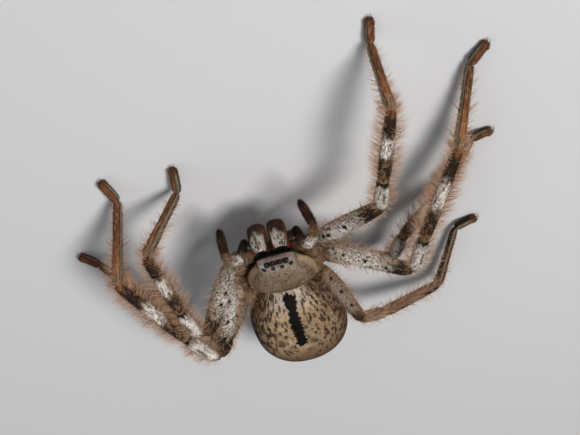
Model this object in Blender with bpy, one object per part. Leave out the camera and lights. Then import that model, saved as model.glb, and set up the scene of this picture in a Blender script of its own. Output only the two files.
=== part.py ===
"""A huntsman spider resting on a floor, life size, as closed solids in metres."""

import math

import bmesh
import bpy
from mathutils import Vector

# Sizes below are in millimetres and are turned into metres when a mesh is written.
MM = 0.001
GAP = 0.3

# The front body is tipped nose up by this angle about its own centre.
PITCH = math.radians(14.2)
BODY_CENTRE = Vector((0.0, 0.0, 16.67))
FORWARD = Vector((0.0, -math.cos(PITCH), math.sin(PITCH)))
UP = Vector((0.0, math.sin(PITCH), math.cos(PITCH)))
LEFT = Vector((1.0, 0.0, 0.0))

# Carapace stations from front to rear: forward, half width, rim height, crown height.
CARAPACE = (
    (6.4, 3.4, -1.20, -0.50),
    (6.25, 4.1, -1.20, 0.20),
    (5.9, 4.4, -1.20, 1.10),
    (5.0, 4.7, -1.15, 1.80),
    (3.9, 5.4, -1.05, 2.15),
    (2.5, 6.8, -0.95, 2.40),
    (0.5, 7.7, -0.85, 2.55),
    (-1.6, 7.9, -0.80, 2.55),
    (-3.4, 7.6, -0.70, 2.35),
    (-5.0, 6.6, -0.60, 1.90),
    (-6.2, 5.3, -0.55, 1.30),
    (-7.0, 3.9, -0.50, 0.70),
    (-7.5, 2.5, -0.45, 0.10),
)
CARAPACE_RIM_DEPTH = 0.8

# Eyes: name, forward, side, up and radius. Each one sits in its own socket.
EYES = (
    ("front_middle", 6.10, 0.75, 0.60, 0.42),
    ("front_side", 5.95, 2.25, 0.50, 0.48),
    ("rear_middle", 5.35, 1.05, 1.50, 0.36),
    ("rear_side", 5.15, 3.15, 1.05, 0.42),
)
SOCKET_CLEARANCE = 0.12

# Jaw stations from the base to the tip: forward, up, side, half width, half depth.
# Both jaws are swung a little to the left.
CHELICERA = (
    (6.3, -2.32, 2.2, 1.5, 1.2),
    (6.9, -2.8, 2.25, 2.0, 2.0),
    (7.8, -3.9, 2.3, 2.12, 2.3),
    (8.5, -5.3, 2.3, 2.15, 2.2),
    (8.9, -6.6, 2.25, 2.08, 1.95),
    (9.1, -7.5, 2.22, 1.85, 1.5),
    (9.1, -8.0, 2.2, 1.25, 0.9),
)
JAW_SWING = 0.4
FANG = ((7.3, 2.4, -8.5), (6.7, 1.5, -9.3), (4.9, 0.75, -8.6))
FANG_PROFILE = ((0.0, 0.62), (0.4, 0.5), (1.0, 0.12))

# Breast plate stations: forward, half width, half depth, all at one height.
STERNUM_UP = -4.7
STERNUM = (
    (4.8, 1.2, 0.5),
    (4.3, 2.6, 1.0),
    (2.6, 3.9, 1.5),
    (0.0, 4.3, 1.7),
    (-3.0, 3.6, 1.6),
    (-5.2, 2.0, 1.2),
    (-6.4, 0.9, 0.8),
    (-7.4, 0.8, 0.7),
)
# The mouth plates that carry the palps: forward, side, up along the middle of each.
MOUTH_PLATE = ((3.2, 2.4, -5.5), (4.8, 3.6, -5.9), (6.2, 5.1, -5.9))
MOUTH_PLATE_PROFILE = ((0.0, 1.1), (0.6, 1.2), (1.0, 0.8))
# The lip: forward and half width.
LIP = ((3.8, 1.5), (4.7, 1.4), (5.4, 1.1), (5.7, 0.6))
LIP_UP = -5.4
LIP_DEPTH = 0.7

# Abdomen stations: share of length from the front, half width, top height, bottom height.
ABDOMEN_SIDE = 0.9
ABDOMEN_FRONT_Y = 6.9
ABDOMEN_REAR_Y = 35.0
ABDOMEN = (
    (0.000, 0.6, 10.8, 9.6),
    (0.035, 3.2, 12.1, 7.9),
    (0.10, 6.0, 14.0, 6.0),
    (0.20, 8.4, 16.3, 3.6),
    (0.33, 10.2, 18.2, 1.3),
    (0.48, 11.1, 19.1, 0.1),
    (0.62, 11.2, 19.1, -0.1),
    (0.76, 10.6, 18.1, 0.7),
    (0.88, 8.9, 15.9, 2.6),
    (0.96, 6.0, 12.7, 4.9),
    (1.000, 1.2, 9.4, 7.6),
)

# Spinnerets: the middle of their root, and for each pair its spread, rise, slope and length.
SPINNERET_ROOT = (0.9, 36.1, 6.9)
SPINNERET_ROOT_RADIUS = 0.95
SPINNERET_ROOT_STRETCH = 1.7
SPINNERETS = ((0.75, -0.35, -0.45, 2.1), (0.95, 0.35, -0.1, 2.4))

# Leg joints from the inner end of the coxa out to the tip.
LEG_JOINTS = {
    "left_1": ((3.0, -3.5, 12.8), (9.3, -7.4, 16.4), (20.5, 5.9, 22.1), (23.5, -1.9, 22.0),
               (26.4, -16.2, 17.0), (17.7, -19.5, 2.9), (16.8, -24.7, 0.8)),
    "left_2": ((3.2, -1.2, 12.0), (11.0, -1.9, 14.1), (19.8, 16.2, 20.3), (25.0, 7.4, 21.4),
               (35.1, -10.0, 16.8), (31.1, -21.1, 2.3), (32.9, -26.4, 0.8)),
    "left_3": ((3.0, 1.5, 11.2), (10.2, 3.1, 12.0), (21.2, 17.3, 14.6), (25.4, 9.5, 15.1),
               (34.2, -4.8, 13.3), (41.1, -3.2, 2.0), (44.7, -6.4, 0.8)),
    "left_4": ((2.6, 3.4, 10.8), (8.6, 6.9, 11.2), (18.3, 22.6, 10.4), (23.0, 28.4, 7.5),
               (32.9, 19.6, 4.0), (36.6, 4.7, 2.3), (39.0, 0.3, 0.8)),
    "right_1": ((-3.0, -3.5, 12.8), (-9.5, -6.7, 15.9), (-25.8, -15.9, 20.6), (-28.1, -24.4, 22.3),
                (-33.7, -38.7, 17.4), (-33.1, -44.9, 2.3), (-34.3, -50.2, 0.8)),
    "right_2": ((-3.2, -1.2, 12.0), (-10.8, -2.1, 14.5), (-28.1, 10.1, 15.8), (-32.6, 0.9, 17.2),
                (-45.4, -15.4, 9.2), (-52.5, -31.9, 2.2), (-57.0, -35.4, 0.8)),
    "right_3": ((-3.0, 1.5, 11.2), (-10.2, 2.9, 12.2), (-23.9, 13.2, 7.5), (-28.0, 6.0, 9.7),
                (-40.9, -0.3, 3.5), (-48.8, -10.7, 2.5), (-53.5, -10.5, 0.8)),
    "right_4": ((-2.6, 3.4, 10.8), (-8.3, 7.1, 11.4), (-13.6, 22.2, 15.4), (-18.8, 27.0, 11.4),
                (-32.5, 28.7, 5.4), (-40.2, 15.5, 2.2), (-45.2, 15.0, 0.8)),
}
LEG_BENDS = (0.0, 1.9, 2.3, 3.0, 2.6, 2.4)
SEGMENTS = ("coxa", "femur", "patella", "tibia", "metatarsus", "tarsus")

# Tube radius at shares of each segment's length, before the scale of its leg pair.
PROFILES = {
    "coxa": ((0.0, 1.3), (0.5, 1.75), (0.85, 1.75), (1.0, 1.45)),
    "femur": ((0.0, 1.35), (0.10, 1.70), (0.30, 2.15), (0.6, 2.05), (0.9, 1.75), (1.0, 1.5)),
    "patella": ((0.0, 1.45), (0.2, 1.65), (0.5, 1.75), (0.85, 1.65), (1.0, 1.4)),
    "tibia": ((0.0, 1.35), (0.12, 1.6), (0.4, 1.6), (0.88, 1.4), (1.0, 1.2)),
    "metatarsus": ((0.0, 1.15), (0.12, 1.3), (0.5, 1.12), (0.9, 1.05), (1.0, 0.85)),
    "tarsus": ((0.0, 0.9), (0.2, 1.1), (0.8, 1.08), (0.95, 0.9), (1.0, 0.5)),
}
PAIR_SCALE = {"1": 1.0, "2": 1.04, "3": 0.92, "4": 0.88}
SIDES = {"coxa": 12, "femur": 12, "patella": 12, "tibia": 12, "metatarsus": 10, "tarsus": 10}
RINGS = {"coxa": 5, "femur": 10, "patella": 8, "tibia": 9, "metatarsus": 8, "tarsus": 7}

# Spines: share of the length and angle round the tube from its top, per segment.
SPINES = {
    "femur": ((0.24, 34), (0.47, 30), (0.74, 24)),
    "patella": ((0.50, 0),),
    "tibia": ((0.25, 118), (0.25, -118), (0.62, 112), (0.62, -112), (0.45, 60)),
    "metatarsus": ((0.12, 115), (0.12, -115), (0.45, 108), (0.45, -108)),
}
SPINE_LENGTH = {"femur": 2.0, "patella": 1.6, "tibia": 3.0, "metatarsus": 2.8}
SPINE_RADIUS = 0.3
SPINE_SINK = 0.55
CLAW_SPREAD = 0.3
CLAW_LENGTH = 1.5
CLAW_TIP_HEIGHT = 0.15
CLAW_RADIUS = 0.27

# Palp joints from the base to the tip, with the radius at each one.
PALP_JOINTS = {
    "left": ((5.9, -8.8, 12.8), (7.2, -9.9, 19.3), (8.6, -10.9, 20.8), (10.2, -10.9, 17.6),
             (10.4, -13.4, 11.9)),
    "right": ((-5.9, -8.6, 12.8), (-7.2, -9.6, 19.1), (-8.9, -10.4, 20.0), (-10.5, -13.4, 18.4),
              (-8.9, -17.0, 13.4)),
}
PALP_BENDS = (0.0, 1.5, 1.8, 1.8)
PALP_RADII = (0.85, 1.15, 1.1, 0.95, 0.8)
PALP_TIP = ((0.0, 0.8), (0.2, 1.0), (0.7, 0.95), (0.92, 0.7), (1.0, 0.3))

# One brown or grey for each kind of piece, as linear red, green and blue.
COLOURS = {
    "carapace": (0.42, 0.36, 0.28),
    "sternum": (0.20, 0.13, 0.08),
    "abdomen": (0.46, 0.38, 0.27),
    "spinnerets": (0.22, 0.15, 0.10),
    "chelicera": (0.16, 0.06, 0.03),
    "fang": (0.03, 0.01, 0.01),
    "eye": (0.01, 0.01, 0.01),
    "femur": (0.40, 0.35, 0.28),
    "patella": (0.45, 0.40, 0.33),
    "tibia": (0.25, 0.18, 0.12),
    "metatarsus": (0.22, 0.10, 0.04),
    "tarsus": (0.20, 0.08, 0.03),
    "palp": (0.25, 0.18, 0.12),
}


def clear_scene():
    for old in list(bpy.data.objects):
        bpy.data.objects.remove(old, do_unlink=True)


def at_body(forward, side, up):
    """A world point from distances ahead of, left of and above the body's centre."""
    return BODY_CENTRE + FORWARD * forward + LEFT * side + UP * up


def read_table(rows, share):
    """Smooth values at a share, from rows whose first entries rise from 0 to 1."""
    last = len(rows) - 1
    spot = 0
    while spot < last - 1 and share > rows[spot + 1][0]:
        spot += 1
    before = rows[max(spot - 1, 0)]
    low = rows[spot]
    high = rows[spot + 1]
    after = rows[min(spot + 2, last)]
    width = high[0] - low[0]
    part = min(max((share - low[0]) / width, 0.0), 1.0)
    values = []
    for index in range(1, len(low)):
        rise_in = (high[index] - before[index]) / max(high[0] - before[0], 1e-6) * width
        rise_out = (after[index] - low[index]) / max(after[0] - low[0], 1e-6) * width
        values.append(
            low[index] * (2 * part**3 - 3 * part**2 + 1)
            + rise_in * (part**3 - 2 * part**2 + part)
            + high[index] * (3 * part**2 - 2 * part**3)
            + rise_out * (part**3 - part**2)
        )
    return values


def new_object(name, points, faces):
    """A mesh object from points in millimetres."""
    mesh = bpy.data.meshes.new(name)
    mesh.from_pydata([tuple(point * MM) for point in points], [], faces)
    work = bmesh.new()
    work.from_mesh(mesh)
    bmesh.ops.recalc_face_normals(work, faces=work.faces)
    work.to_mesh(mesh)
    work.free()
    body = bpy.data.objects.new(name, mesh)
    bpy.context.scene.collection.objects.link(body)
    return body


def loft(name, rings):
    """A closed body through rings of equal length, with a point in the middle of each end."""
    sides = len(rings[0])
    points = [point for ring in rings for point in ring]
    faces = []
    for row in range(len(rings) - 1):
        for side in range(sides):
            after = (side + 1) % sides
            faces.append((row * sides + side, row * sides + after,
                          (row + 1) * sides + after, (row + 1) * sides + side))
    for row in (0, len(rings) - 1):
        middle = sum(rings[row], Vector((0.0, 0.0, 0.0))) / sides
        points.append(middle)
        for side in range(sides):
            faces.append((row * sides + side, row * sides + (side + 1) % sides, len(points) - 1))
    return new_object(name, points, faces)


def rounded_path(joints, bends):
    """Samples (length, point) of a line whose corners are arcs through the joints.

    Returns the samples and the length at which each joint is passed.
    """
    corners = [Vector(joint) for joint in joints]
    for _ in range(4):
        moved = [corners[0]]
        for index in range(1, len(joints) - 1):
            into = (corners[index] - corners[index - 1]).normalized()
            out = (corners[index + 1] - corners[index]).normalized()
            half = into.angle(out) / 2
            outward = into - out
            if outward.length > 1e-6:
                outward.normalize()
            reach = bends[index] * (1 / math.cos(half) - 1)
            moved.append(Vector(joints[index]) + outward * reach)
        moved.append(corners[-1])
        corners = moved
    samples = [(0.0, corners[0])]
    marks = [0.0]
    length = 0.0
    here = corners[0]
    for index in range(1, len(joints) - 1):
        into = (corners[index] - corners[index - 1]).normalized()
        out = (corners[index + 1] - corners[index]).normalized()
        turn = into.angle(out)
        tangent = bends[index] * math.tan(turn / 2)
        start = corners[index] - into * tangent
        length += (start - here).length
        samples.append((length, start))
        side = out - into * out.dot(into)
        if side.length > 1e-6:
            side.normalize()
        centre = start + side * bends[index]
        steps = max(2, 2 * math.ceil(turn / math.radians(16)))
        arc_start = length
        for step in range(1, steps + 1):
            angle = turn * step / steps
            point = centre - side * bends[index] * math.cos(angle) + into * bends[index] * math.sin(angle)
            length = arc_start + bends[index] * angle
            samples.append((length, point))
        marks.append(arc_start + bends[index] * turn / 2)
        here = samples[-1][1]
    length += (corners[-1] - here).length
    samples.append((length, corners[-1]))
    marks.append(length)
    return samples, marks


def point_on(samples, length):
    """The point at a length along the samples."""
    spot = 0
    while spot < len(samples) - 2 and length > samples[spot + 1][0]:
        spot += 1
    start_length, start = samples[spot]
    end_length, end = samples[spot + 1]
    share = (length - start_length) / max(end_length - start_length, 1e-9)
    return start.lerp(end, share)


def frames_on(samples, lengths):
    """Point, direction and two side axes at each length, turning as little as possible."""
    frames = []
    side = None
    for length in lengths:
        point = point_on(samples, length)
        ahead = point_on(samples, length + 0.1) - point_on(samples, length - 0.1)
        ahead.normalize()
        if side is None:
            side = ahead.cross(Vector((0.0, 0.0, 1.0)))
        side = side - ahead * side.dot(ahead)
        side.normalize()
        top = side.cross(ahead).normalized()
        frames.append((point, ahead, side, top))
    return frames


def tube_rings(samples, start, end, profile, scale, sides, count):
    """Rings of a tube between two lengths of the path, and the frames they stand on."""
    lengths = [start + (end - start) * step / 60 for step in range(61)]
    fine = frames_on(samples, lengths)
    rings = []
    frames = []
    for index in range(count):
        share = index / (count - 1)
        # Rings crowd towards both ends, where the tube narrows and bends.
        swing = math.cos(math.pi * share)
        share = 0.5 - 0.5 * swing * (0.55 + 0.45 * abs(swing))
        point, ahead, side, top = fine[round(share * 60)]
        radius = read_table(profile, share)[0] * scale
        ring = []
        for corner in range(sides):
            angle = 2 * math.pi * corner / sides
            ring.append(point + (top * math.cos(angle) + side * math.sin(angle)) * radius)
        rings.append(ring)
        frames.append((share, point, ahead, side, top, radius))
    return rings, frames


def cone(name, base, tip, radius, sides=5):
    """A closed cone from a base point to a tip."""
    ahead = (tip - base).normalized()
    side = ahead.orthogonal().normalized()
    top = side.cross(ahead)
    angles = [2 * math.pi * k / sides for k in range(sides)]
    ring = [base + (side * math.cos(angle) + top * math.sin(angle)) * radius for angle in angles]
    faces = [(k, (k + 1) % sides, sides) for k in range(sides)]
    faces.append(tuple(range(sides)))
    return new_object(name, ring + [tip], faces)


def join(body, extras, operation="UNION"):
    """Adds the extras to a body, or cuts them from it, with one Boolean."""
    group = bpy.data.collections.new("extras")
    bpy.context.scene.collection.children.link(group)
    for extra in extras:
        bpy.context.scene.collection.objects.unlink(extra)
        group.objects.link(extra)
    step = body.modifiers.new("join", "BOOLEAN")
    step.operation = operation
    step.operand_type = "COLLECTION"
    step.collection = group
    step.solver = "EXACT"
    graph = bpy.context.evaluated_depsgraph_get()
    result = bpy.data.meshes.new_from_object(body.evaluated_get(graph))
    body.modifiers.remove(step)
    body.data = result
    for extra in extras:
        bpy.data.objects.remove(extra, do_unlink=True)
    bpy.data.collections.remove(group)
    keep_largest(body)


def keep_largest(body):
    """Drops every closed surface of a body but the largest one."""
    work = bmesh.new()
    work.from_mesh(body.data)
    seen = set()
    groups = []
    for start in work.verts:
        if start in seen:
            continue
        seen.add(start)
        group = [start]
        for vertex in group:
            for edge in vertex.link_edges:
                other = edge.other_vert(vertex)
                if other not in seen:
                    seen.add(other)
                    group.append(other)
        groups.append(group)
    groups.sort(key=len, reverse=True)
    for group in groups[1:]:
        bmesh.ops.delete(work, geom=group, context="VERTS")
    work.to_mesh(body.data)
    work.free()


def paint(body, kind):
    """Gives a body its own material."""
    material = bpy.data.materials.new(body.name)
    material.use_nodes = True
    shader = material.node_tree.nodes["Principled BSDF"]
    shader.inputs["Base Color"].default_value = (*COLOURS[kind], 1.0)
    shader.inputs["Roughness"].default_value = 0.2 if kind in ("eye", "fang") else 0.7
    body.data.materials.clear()
    body.data.materials.append(material)


def rest_on_floor(body):
    """Presses whatever reaches under the floor into a small flat on it."""
    for vertex in body.data.vertices:
        vertex.co.z = max(vertex.co.z, 0.0)


def carapace_ring(forward, half_width, rim, crown, count=28):
    ring = []
    for index in range(count):
        angle = 2 * math.pi * index / count
        side = math.cos(angle)
        rise = math.sin(angle)
        side = half_width * math.copysign(abs(side) ** 0.86, side)
        if rise >= 0:
            up = rim + (crown - rim) * rise**0.9
        else:
            up = rim - CARAPACE_RIM_DEPTH * abs(rise) ** 0.6
        ring.append(at_body(forward, side, up))
    return ring


def make_carapace():
    front = CARAPACE[0][0]
    length = front - CARAPACE[-1][0]
    rows = [((front - row[0]) / length, *row[1:]) for row in CARAPACE]
    rings = []
    for step in range(25):
        share = 0.5 - 0.5 * math.cos(math.pi * step / 24)
        half_width, rim, crown = read_table(rows, share)
        rings.append(carapace_ring(front - share * length, half_width, rim, crown))
    body = loft("carapace", rings)
    eyes = []
    sockets = []
    for name, forward, side, up, radius in EYES:
        for hand, sign in (("left", 1), ("right", -1)):
            centre = at_body(forward, side * sign, up)
            eyes.append(ball("eye_" + name + "_" + hand, centre, radius, 10, 6))
            sockets.append(ball("socket", centre, radius + SOCKET_CLEARANCE, 10, 6))
    join(body, sockets, "DIFFERENCE")
    paint(body, "carapace")
    for eye in eyes:
        paint(eye, "eye")


def ball(name, centre, radius, around, rows):
    rings = []
    for row in range(1, rows):
        angle = math.pi * row / rows
        ring = []
        for corner in range(around):
            turn = 2 * math.pi * corner / around
            ring.append(centre + Vector((math.sin(angle) * math.cos(turn), math.sin(angle) * math.sin(turn),
                                         math.cos(angle))) * radius)
        rings.append(ring)
    body = loft(name, rings)
    body.data.vertices[-2].co = (centre + Vector((0.0, 0.0, radius))) * MM
    body.data.vertices[-1].co = (centre - Vector((0.0, 0.0, radius))) * MM
    return body


def make_abdomen():
    rings = []
    for step in range(25):
        share = 0.5 - 0.5 * math.cos(math.pi * step / 24)
        half_width, top, bottom = read_table(ABDOMEN, share)
        along = ABDOMEN_FRONT_Y + share * (ABDOMEN_REAR_Y - ABDOMEN_FRONT_Y)
        middle = (top + bottom) / 2
        half_height = (top - bottom) / 2
        ring = []
        for index in range(30):
            angle = 2 * math.pi * index / 30
            side = ABDOMEN_SIDE + half_width * math.cos(angle)
            ring.append(Vector((side, along, middle + half_height * math.sin(angle))))
        rings.append(ring)
    body = loft("abdomen", rings)
    rest_on_floor(body)
    paint(body, "abdomen")


def make_spinnerets():
    root = Vector(SPINNERET_ROOT)
    body = ball("spinnerets", root, SPINNERET_ROOT_RADIUS, 12, 6)
    for vertex in body.data.vertices:
        vertex.co.x = root.x * MM + (vertex.co.x - root.x * MM) * SPINNERET_ROOT_STRETCH
    extras = []
    for side in (-1, 1):
        for spread, rise, slope, length in SPINNERETS:
            start = root + Vector((side * spread, -0.1, rise))
            way = Vector((side * 0.22, 1.0, slope)).normalized()
            extras.append(stub("spinneret", start, start + way * length, 0.5, 0.28))
    join(body, extras)
    paint(body, "spinnerets")


def stub(name, base, tip, wide, narrow, sides=8):
    """A tapering peg with a rounded end."""
    ahead = (tip - base).normalized()
    side = ahead.orthogonal().normalized()
    top = side.cross(ahead)
    rings = []
    for share, radius in ((0.0, wide), (0.5, (wide + narrow) / 2), (0.9, narrow), (1.0, narrow * 0.5)):
        centre = base.lerp(tip, share)
        rings.append([centre + (side * math.cos(2 * math.pi * k / sides)
                                + top * math.sin(2 * math.pi * k / sides)) * radius for k in range(sides)])
    return loft(name, rings)


def leg_path(name):
    scale = PAIR_SCALE[name[-1]]
    return rounded_path(LEG_JOINTS[name], [bend * scale for bend in LEG_BENDS])


def make_legs():
    coxae = []
    for name in LEG_JOINTS:
        samples, marks = leg_path(name)
        scale = PAIR_SCALE[name[-1]]
        for index, segment in enumerate(SEGMENTS):
            start = marks[index] + (GAP / 2 if index else 0.0)
            end = marks[index + 1] - (GAP / 2 if segment != "tarsus" else 0.0)
            rings, frames = tube_rings(samples, start, end, PROFILES[segment], scale,
                                       SIDES[segment], RINGS[segment])
            if segment == "coxa":
                coxae.append(loft("coxa", rings))
                continue
            body = loft("leg_" + name + "_" + segment, rings)
            hand = 1 if name.startswith("right") else -1
            extras = [spine(samples, start, end, share, hand * degrees, segment, scale)
                      for share, degrees in SPINES.get(segment, ())]
            if segment == "tarsus":
                extras += claws(frames[-2])
            if extras:
                join(body, extras)
            if segment in ("tarsus", "metatarsus"):
                rest_on_floor(body)
            paint(body, segment)
    return coxae


def spine(samples, start, end, share, degrees, segment, scale):
    point, ahead, side, top = frames_on(samples, [start, start + (end - start) * share])[-1]
    angle = math.radians(degrees)
    out = top * math.cos(angle) + side * math.sin(angle)
    radius = read_table(PROFILES[segment], share)[0] * scale
    base = point + out * (radius - SPINE_SINK)
    tip = base + (out * 0.75 + ahead * 0.66) * (SPINE_LENGTH[segment] + 0.5)
    return cone("spine", base, tip, SPINE_RADIUS)


def claws(frame):
    """Two small hooked claws at the end of a tarsus."""
    _, point, ahead, side, _, _ = frame
    flat = Vector((ahead.x, ahead.y, 0.0)).normalized()
    made = []
    for hand in (-1, 1):
        base = point + side * hand * CLAW_SPREAD
        tip = base + flat * CLAW_LENGTH + side * hand * 0.2
        tip.z = CLAW_TIP_HEIGHT
        made.append(cone("claw", base, tip, CLAW_RADIUS, 6))
    return made


def make_palps():
    for hand, joints in PALP_JOINTS.items():
        samples, marks = rounded_path(joints, PALP_BENDS)
        total = marks[-2]
        arm = [(marks[k] / total, PALP_RADII[k]) for k in range(4)]
        rings, _ = tube_rings(samples, 0.0, total - GAP / 2, arm, 1.0, 10, 14)
        paint(loft("palp_" + hand + "_arm", rings), "palp")
        rings, _ = tube_rings(samples, total + GAP / 2, marks[-1], PALP_TIP, 1.0, 10, 8)
        paint(loft("palp_" + hand + "_tarsus", rings), "tarsus")


def make_chelicerae():
    for hand, sign in (("left", 1), ("right", -1)):
        rings = []
        for forward, up, side, wide, deep in CHELICERA:
            ring = []
            for index in range(14):
                angle = 2 * math.pi * index / 14
                ring.append(at_body(forward + deep * math.sin(angle),
                                    JAW_SWING + sign * side + wide * math.cos(angle), up))
            rings.append(ring)
        paint(loft("chelicera_" + hand, rings), "chelicera")
        joints = [at_body(forward, JAW_SWING + sign * side, up) for forward, side, up in FANG]
        samples, marks = rounded_path(joints, [0.0, 1.0])
        rings, _ = tube_rings(samples, 0.0, marks[-1], FANG_PROFILE, 1.0, 8, 7)
        paint(loft("fang_" + hand, rings), "fang")


def make_sternum(coxae):
    """The breast plate, joined to the coxae, the mouth plates and the lip."""
    rings = []
    for forward, wide, deep in STERNUM:
        ring = []
        for index in range(16):
            angle = 2 * math.pi * index / 16
            ring.append(at_body(forward, wide * math.cos(angle), STERNUM_UP + deep * math.sin(angle)))
        rings.append(ring)
    body = loft("sternum", rings)
    extras = list(coxae)
    for sign in (-1, 1):
        joints = [at_body(forward, sign * side, up) for forward, side, up in MOUTH_PLATE]
        samples, marks = rounded_path(joints, [0.0, 2.0])
        rings, _ = tube_rings(samples, 0.0, marks[-1], MOUTH_PLATE_PROFILE, 1.0, 10, 6)
        extras.append(loft("mouth_plate", rings))
    rings = []
    for forward, wide in LIP:
        rings.append([at_body(forward, wide * math.cos(2 * math.pi * k / 10),
                              LIP_UP + LIP_DEPTH * math.sin(2 * math.pi * k / 10)) for k in range(10)])
    extras.append(loft("lip", rings))
    join(body, extras)
    paint(body, "sternum")


def centre_on_origin():
    """Moves the whole spider so that its bounding box stands centred over the origin."""
    points = [vertex.co for body in bpy.data.objects for vertex in body.data.vertices]
    middle_x = (min(p.x for p in points) + max(p.x for p in points)) / 2
    middle_y = (min(p.y for p in points) + max(p.y for p in points)) / 2
    shift = Vector((middle_x, middle_y, 0.0))
    for body in bpy.data.objects:
        for vertex in body.data.vertices:
            vertex.co -= shift
    print("moved by", tuple(round(value / MM, 3) for value in shift))


clear_scene()
make_carapace()
make_abdomen()
make_spinnerets()
make_chelicerae()
make_palps()
make_sternum(make_legs())
centre_on_origin()
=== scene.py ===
"""The looks of a resting huntsman spider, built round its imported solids."""

import math

import bpy
import numpy as np
from mathutils import Matrix, Vector


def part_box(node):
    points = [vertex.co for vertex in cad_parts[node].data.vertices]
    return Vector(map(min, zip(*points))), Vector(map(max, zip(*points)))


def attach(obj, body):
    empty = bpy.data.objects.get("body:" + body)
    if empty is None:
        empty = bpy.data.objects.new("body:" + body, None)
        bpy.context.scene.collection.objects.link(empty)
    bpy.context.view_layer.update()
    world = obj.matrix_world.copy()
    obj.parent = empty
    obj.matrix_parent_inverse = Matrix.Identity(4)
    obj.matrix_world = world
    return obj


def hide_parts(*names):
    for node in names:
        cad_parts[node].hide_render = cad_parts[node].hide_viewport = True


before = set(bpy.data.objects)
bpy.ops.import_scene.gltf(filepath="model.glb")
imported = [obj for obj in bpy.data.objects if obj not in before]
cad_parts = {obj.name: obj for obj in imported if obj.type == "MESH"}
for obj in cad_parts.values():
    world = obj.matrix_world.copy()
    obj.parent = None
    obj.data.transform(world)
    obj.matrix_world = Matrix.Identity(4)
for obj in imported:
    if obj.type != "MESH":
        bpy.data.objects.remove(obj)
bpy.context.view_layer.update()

# Sizes are in millimetres until a mesh is written.
MM = 0.001
SKIN_DEPTH = 0.12
RANDOM_SEED = 11
# How far skin and hair stay above the floor.
SKIN_GAP = 0.03
HAIR_GAP = 0.02
# The rings along each tube and the sides round it.
GRID = {"carapace": (110, 180), "abdomen": (170, 260), "sternum": (70, 64), "mouth": (30, 24), "lip": (24, 28),
        "jaw": (90, 72), "fang": (40, 20), "eye": (22, 28), "palp": (110, 28), "claw": (12, 8),
        "spinneret_root": (24, 28), "spinneret": (16, 16)}
LEG_SIDES = 40
LEG_RING_STEP = 0.27

# The front body, as in the part's source.
PITCH = math.radians(14.2)
BODY_CENTRE = np.array((0.0, 0.0, 16.67))
FORWARD = np.array((0.0, -math.cos(PITCH), math.sin(PITCH)))
UP = np.array((0.0, math.sin(PITCH), math.cos(PITCH)))
LEFT = np.array((1.0, 0.0, 0.0))

CARAPACE = (
    (6.4, 3.4, -1.20, -0.50),
    (6.25, 4.1, -1.20, 0.20),
    (5.9, 4.4, -1.20, 1.10),
    (5.0, 4.7, -1.15, 1.80),
    (3.9, 5.4, -1.05, 2.15),
    (2.5, 6.8, -0.95, 2.40),
    (0.5, 7.7, -0.85, 2.55),
    (-1.6, 7.9, -0.80, 2.55),
    (-3.4, 7.6, -0.70, 2.35),
    (-5.0, 6.6, -0.60, 1.90),
    (-6.2, 5.3, -0.55, 1.30),
    (-7.0, 3.9, -0.50, 0.70),
    (-7.5, 2.5, -0.45, 0.10),
)
CARAPACE_RIM_DEPTH = 0.8

EYES = (
    ("front_middle", 6.10, 0.75, 0.60, 0.42),
    ("front_side", 5.95, 2.25, 0.50, 0.48),
    ("rear_middle", 5.35, 1.05, 1.50, 0.36),
    ("rear_side", 5.15, 3.15, 1.05, 0.42),
)

STERNUM = ((0.0, 4.8, 1.2, 0.5), (0.04, 4.3, 2.6, 1.0), (0.18, 2.6, 3.9, 1.5), (0.39, 0.0, 4.3, 1.7),
           (0.64, -3.0, 3.6, 1.6), (0.82, -5.2, 2.0, 1.2), (0.92, -6.4, 0.9, 0.8), (1.0, -7.4, 0.8, 0.7))
STERNUM_UP = -4.7
MOUTH_PLATE = ((3.2, 2.4, -5.5), (4.8, 3.6, -5.9), (6.2, 5.1, -5.9))
LIP = ((0.0, 3.8, 1.5), (0.45, 4.7, 1.4), (0.85, 5.4, 1.1), (1.0, 5.7, 0.6))
LIP_UP = -5.4
LIP_DEPTH = 0.7

ABDOMEN_SIDE = 0.9
ABDOMEN_FRONT_Y = 6.9
ABDOMEN_REAR_Y = 35.0
ABDOMEN = (
    (0.000, 0.6, 10.8, 9.6),
    (0.035, 3.2, 12.1, 7.9),
    (0.10, 6.0, 14.0, 6.0),
    (0.20, 8.4, 16.3, 3.6),
    (0.33, 10.2, 18.2, 1.3),
    (0.48, 11.1, 19.1, 0.1),
    (0.62, 11.2, 19.1, -0.1),
    (0.76, 10.6, 18.1, 0.7),
    (0.88, 8.9, 15.9, 2.6),
    (0.96, 6.0, 12.7, 4.9),
    (1.000, 1.2, 9.4, 7.6),
)
SPINNERET_ROOT = (0.9, 36.1, 6.9)
SPINNERET_ROOT_RADIUS = 0.95
SPINNERET_ROOT_STRETCH = 1.7
SPINNERETS = ((0.75, -0.35, -0.45, 2.1), (0.95, 0.35, -0.1, 2.4))

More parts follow.
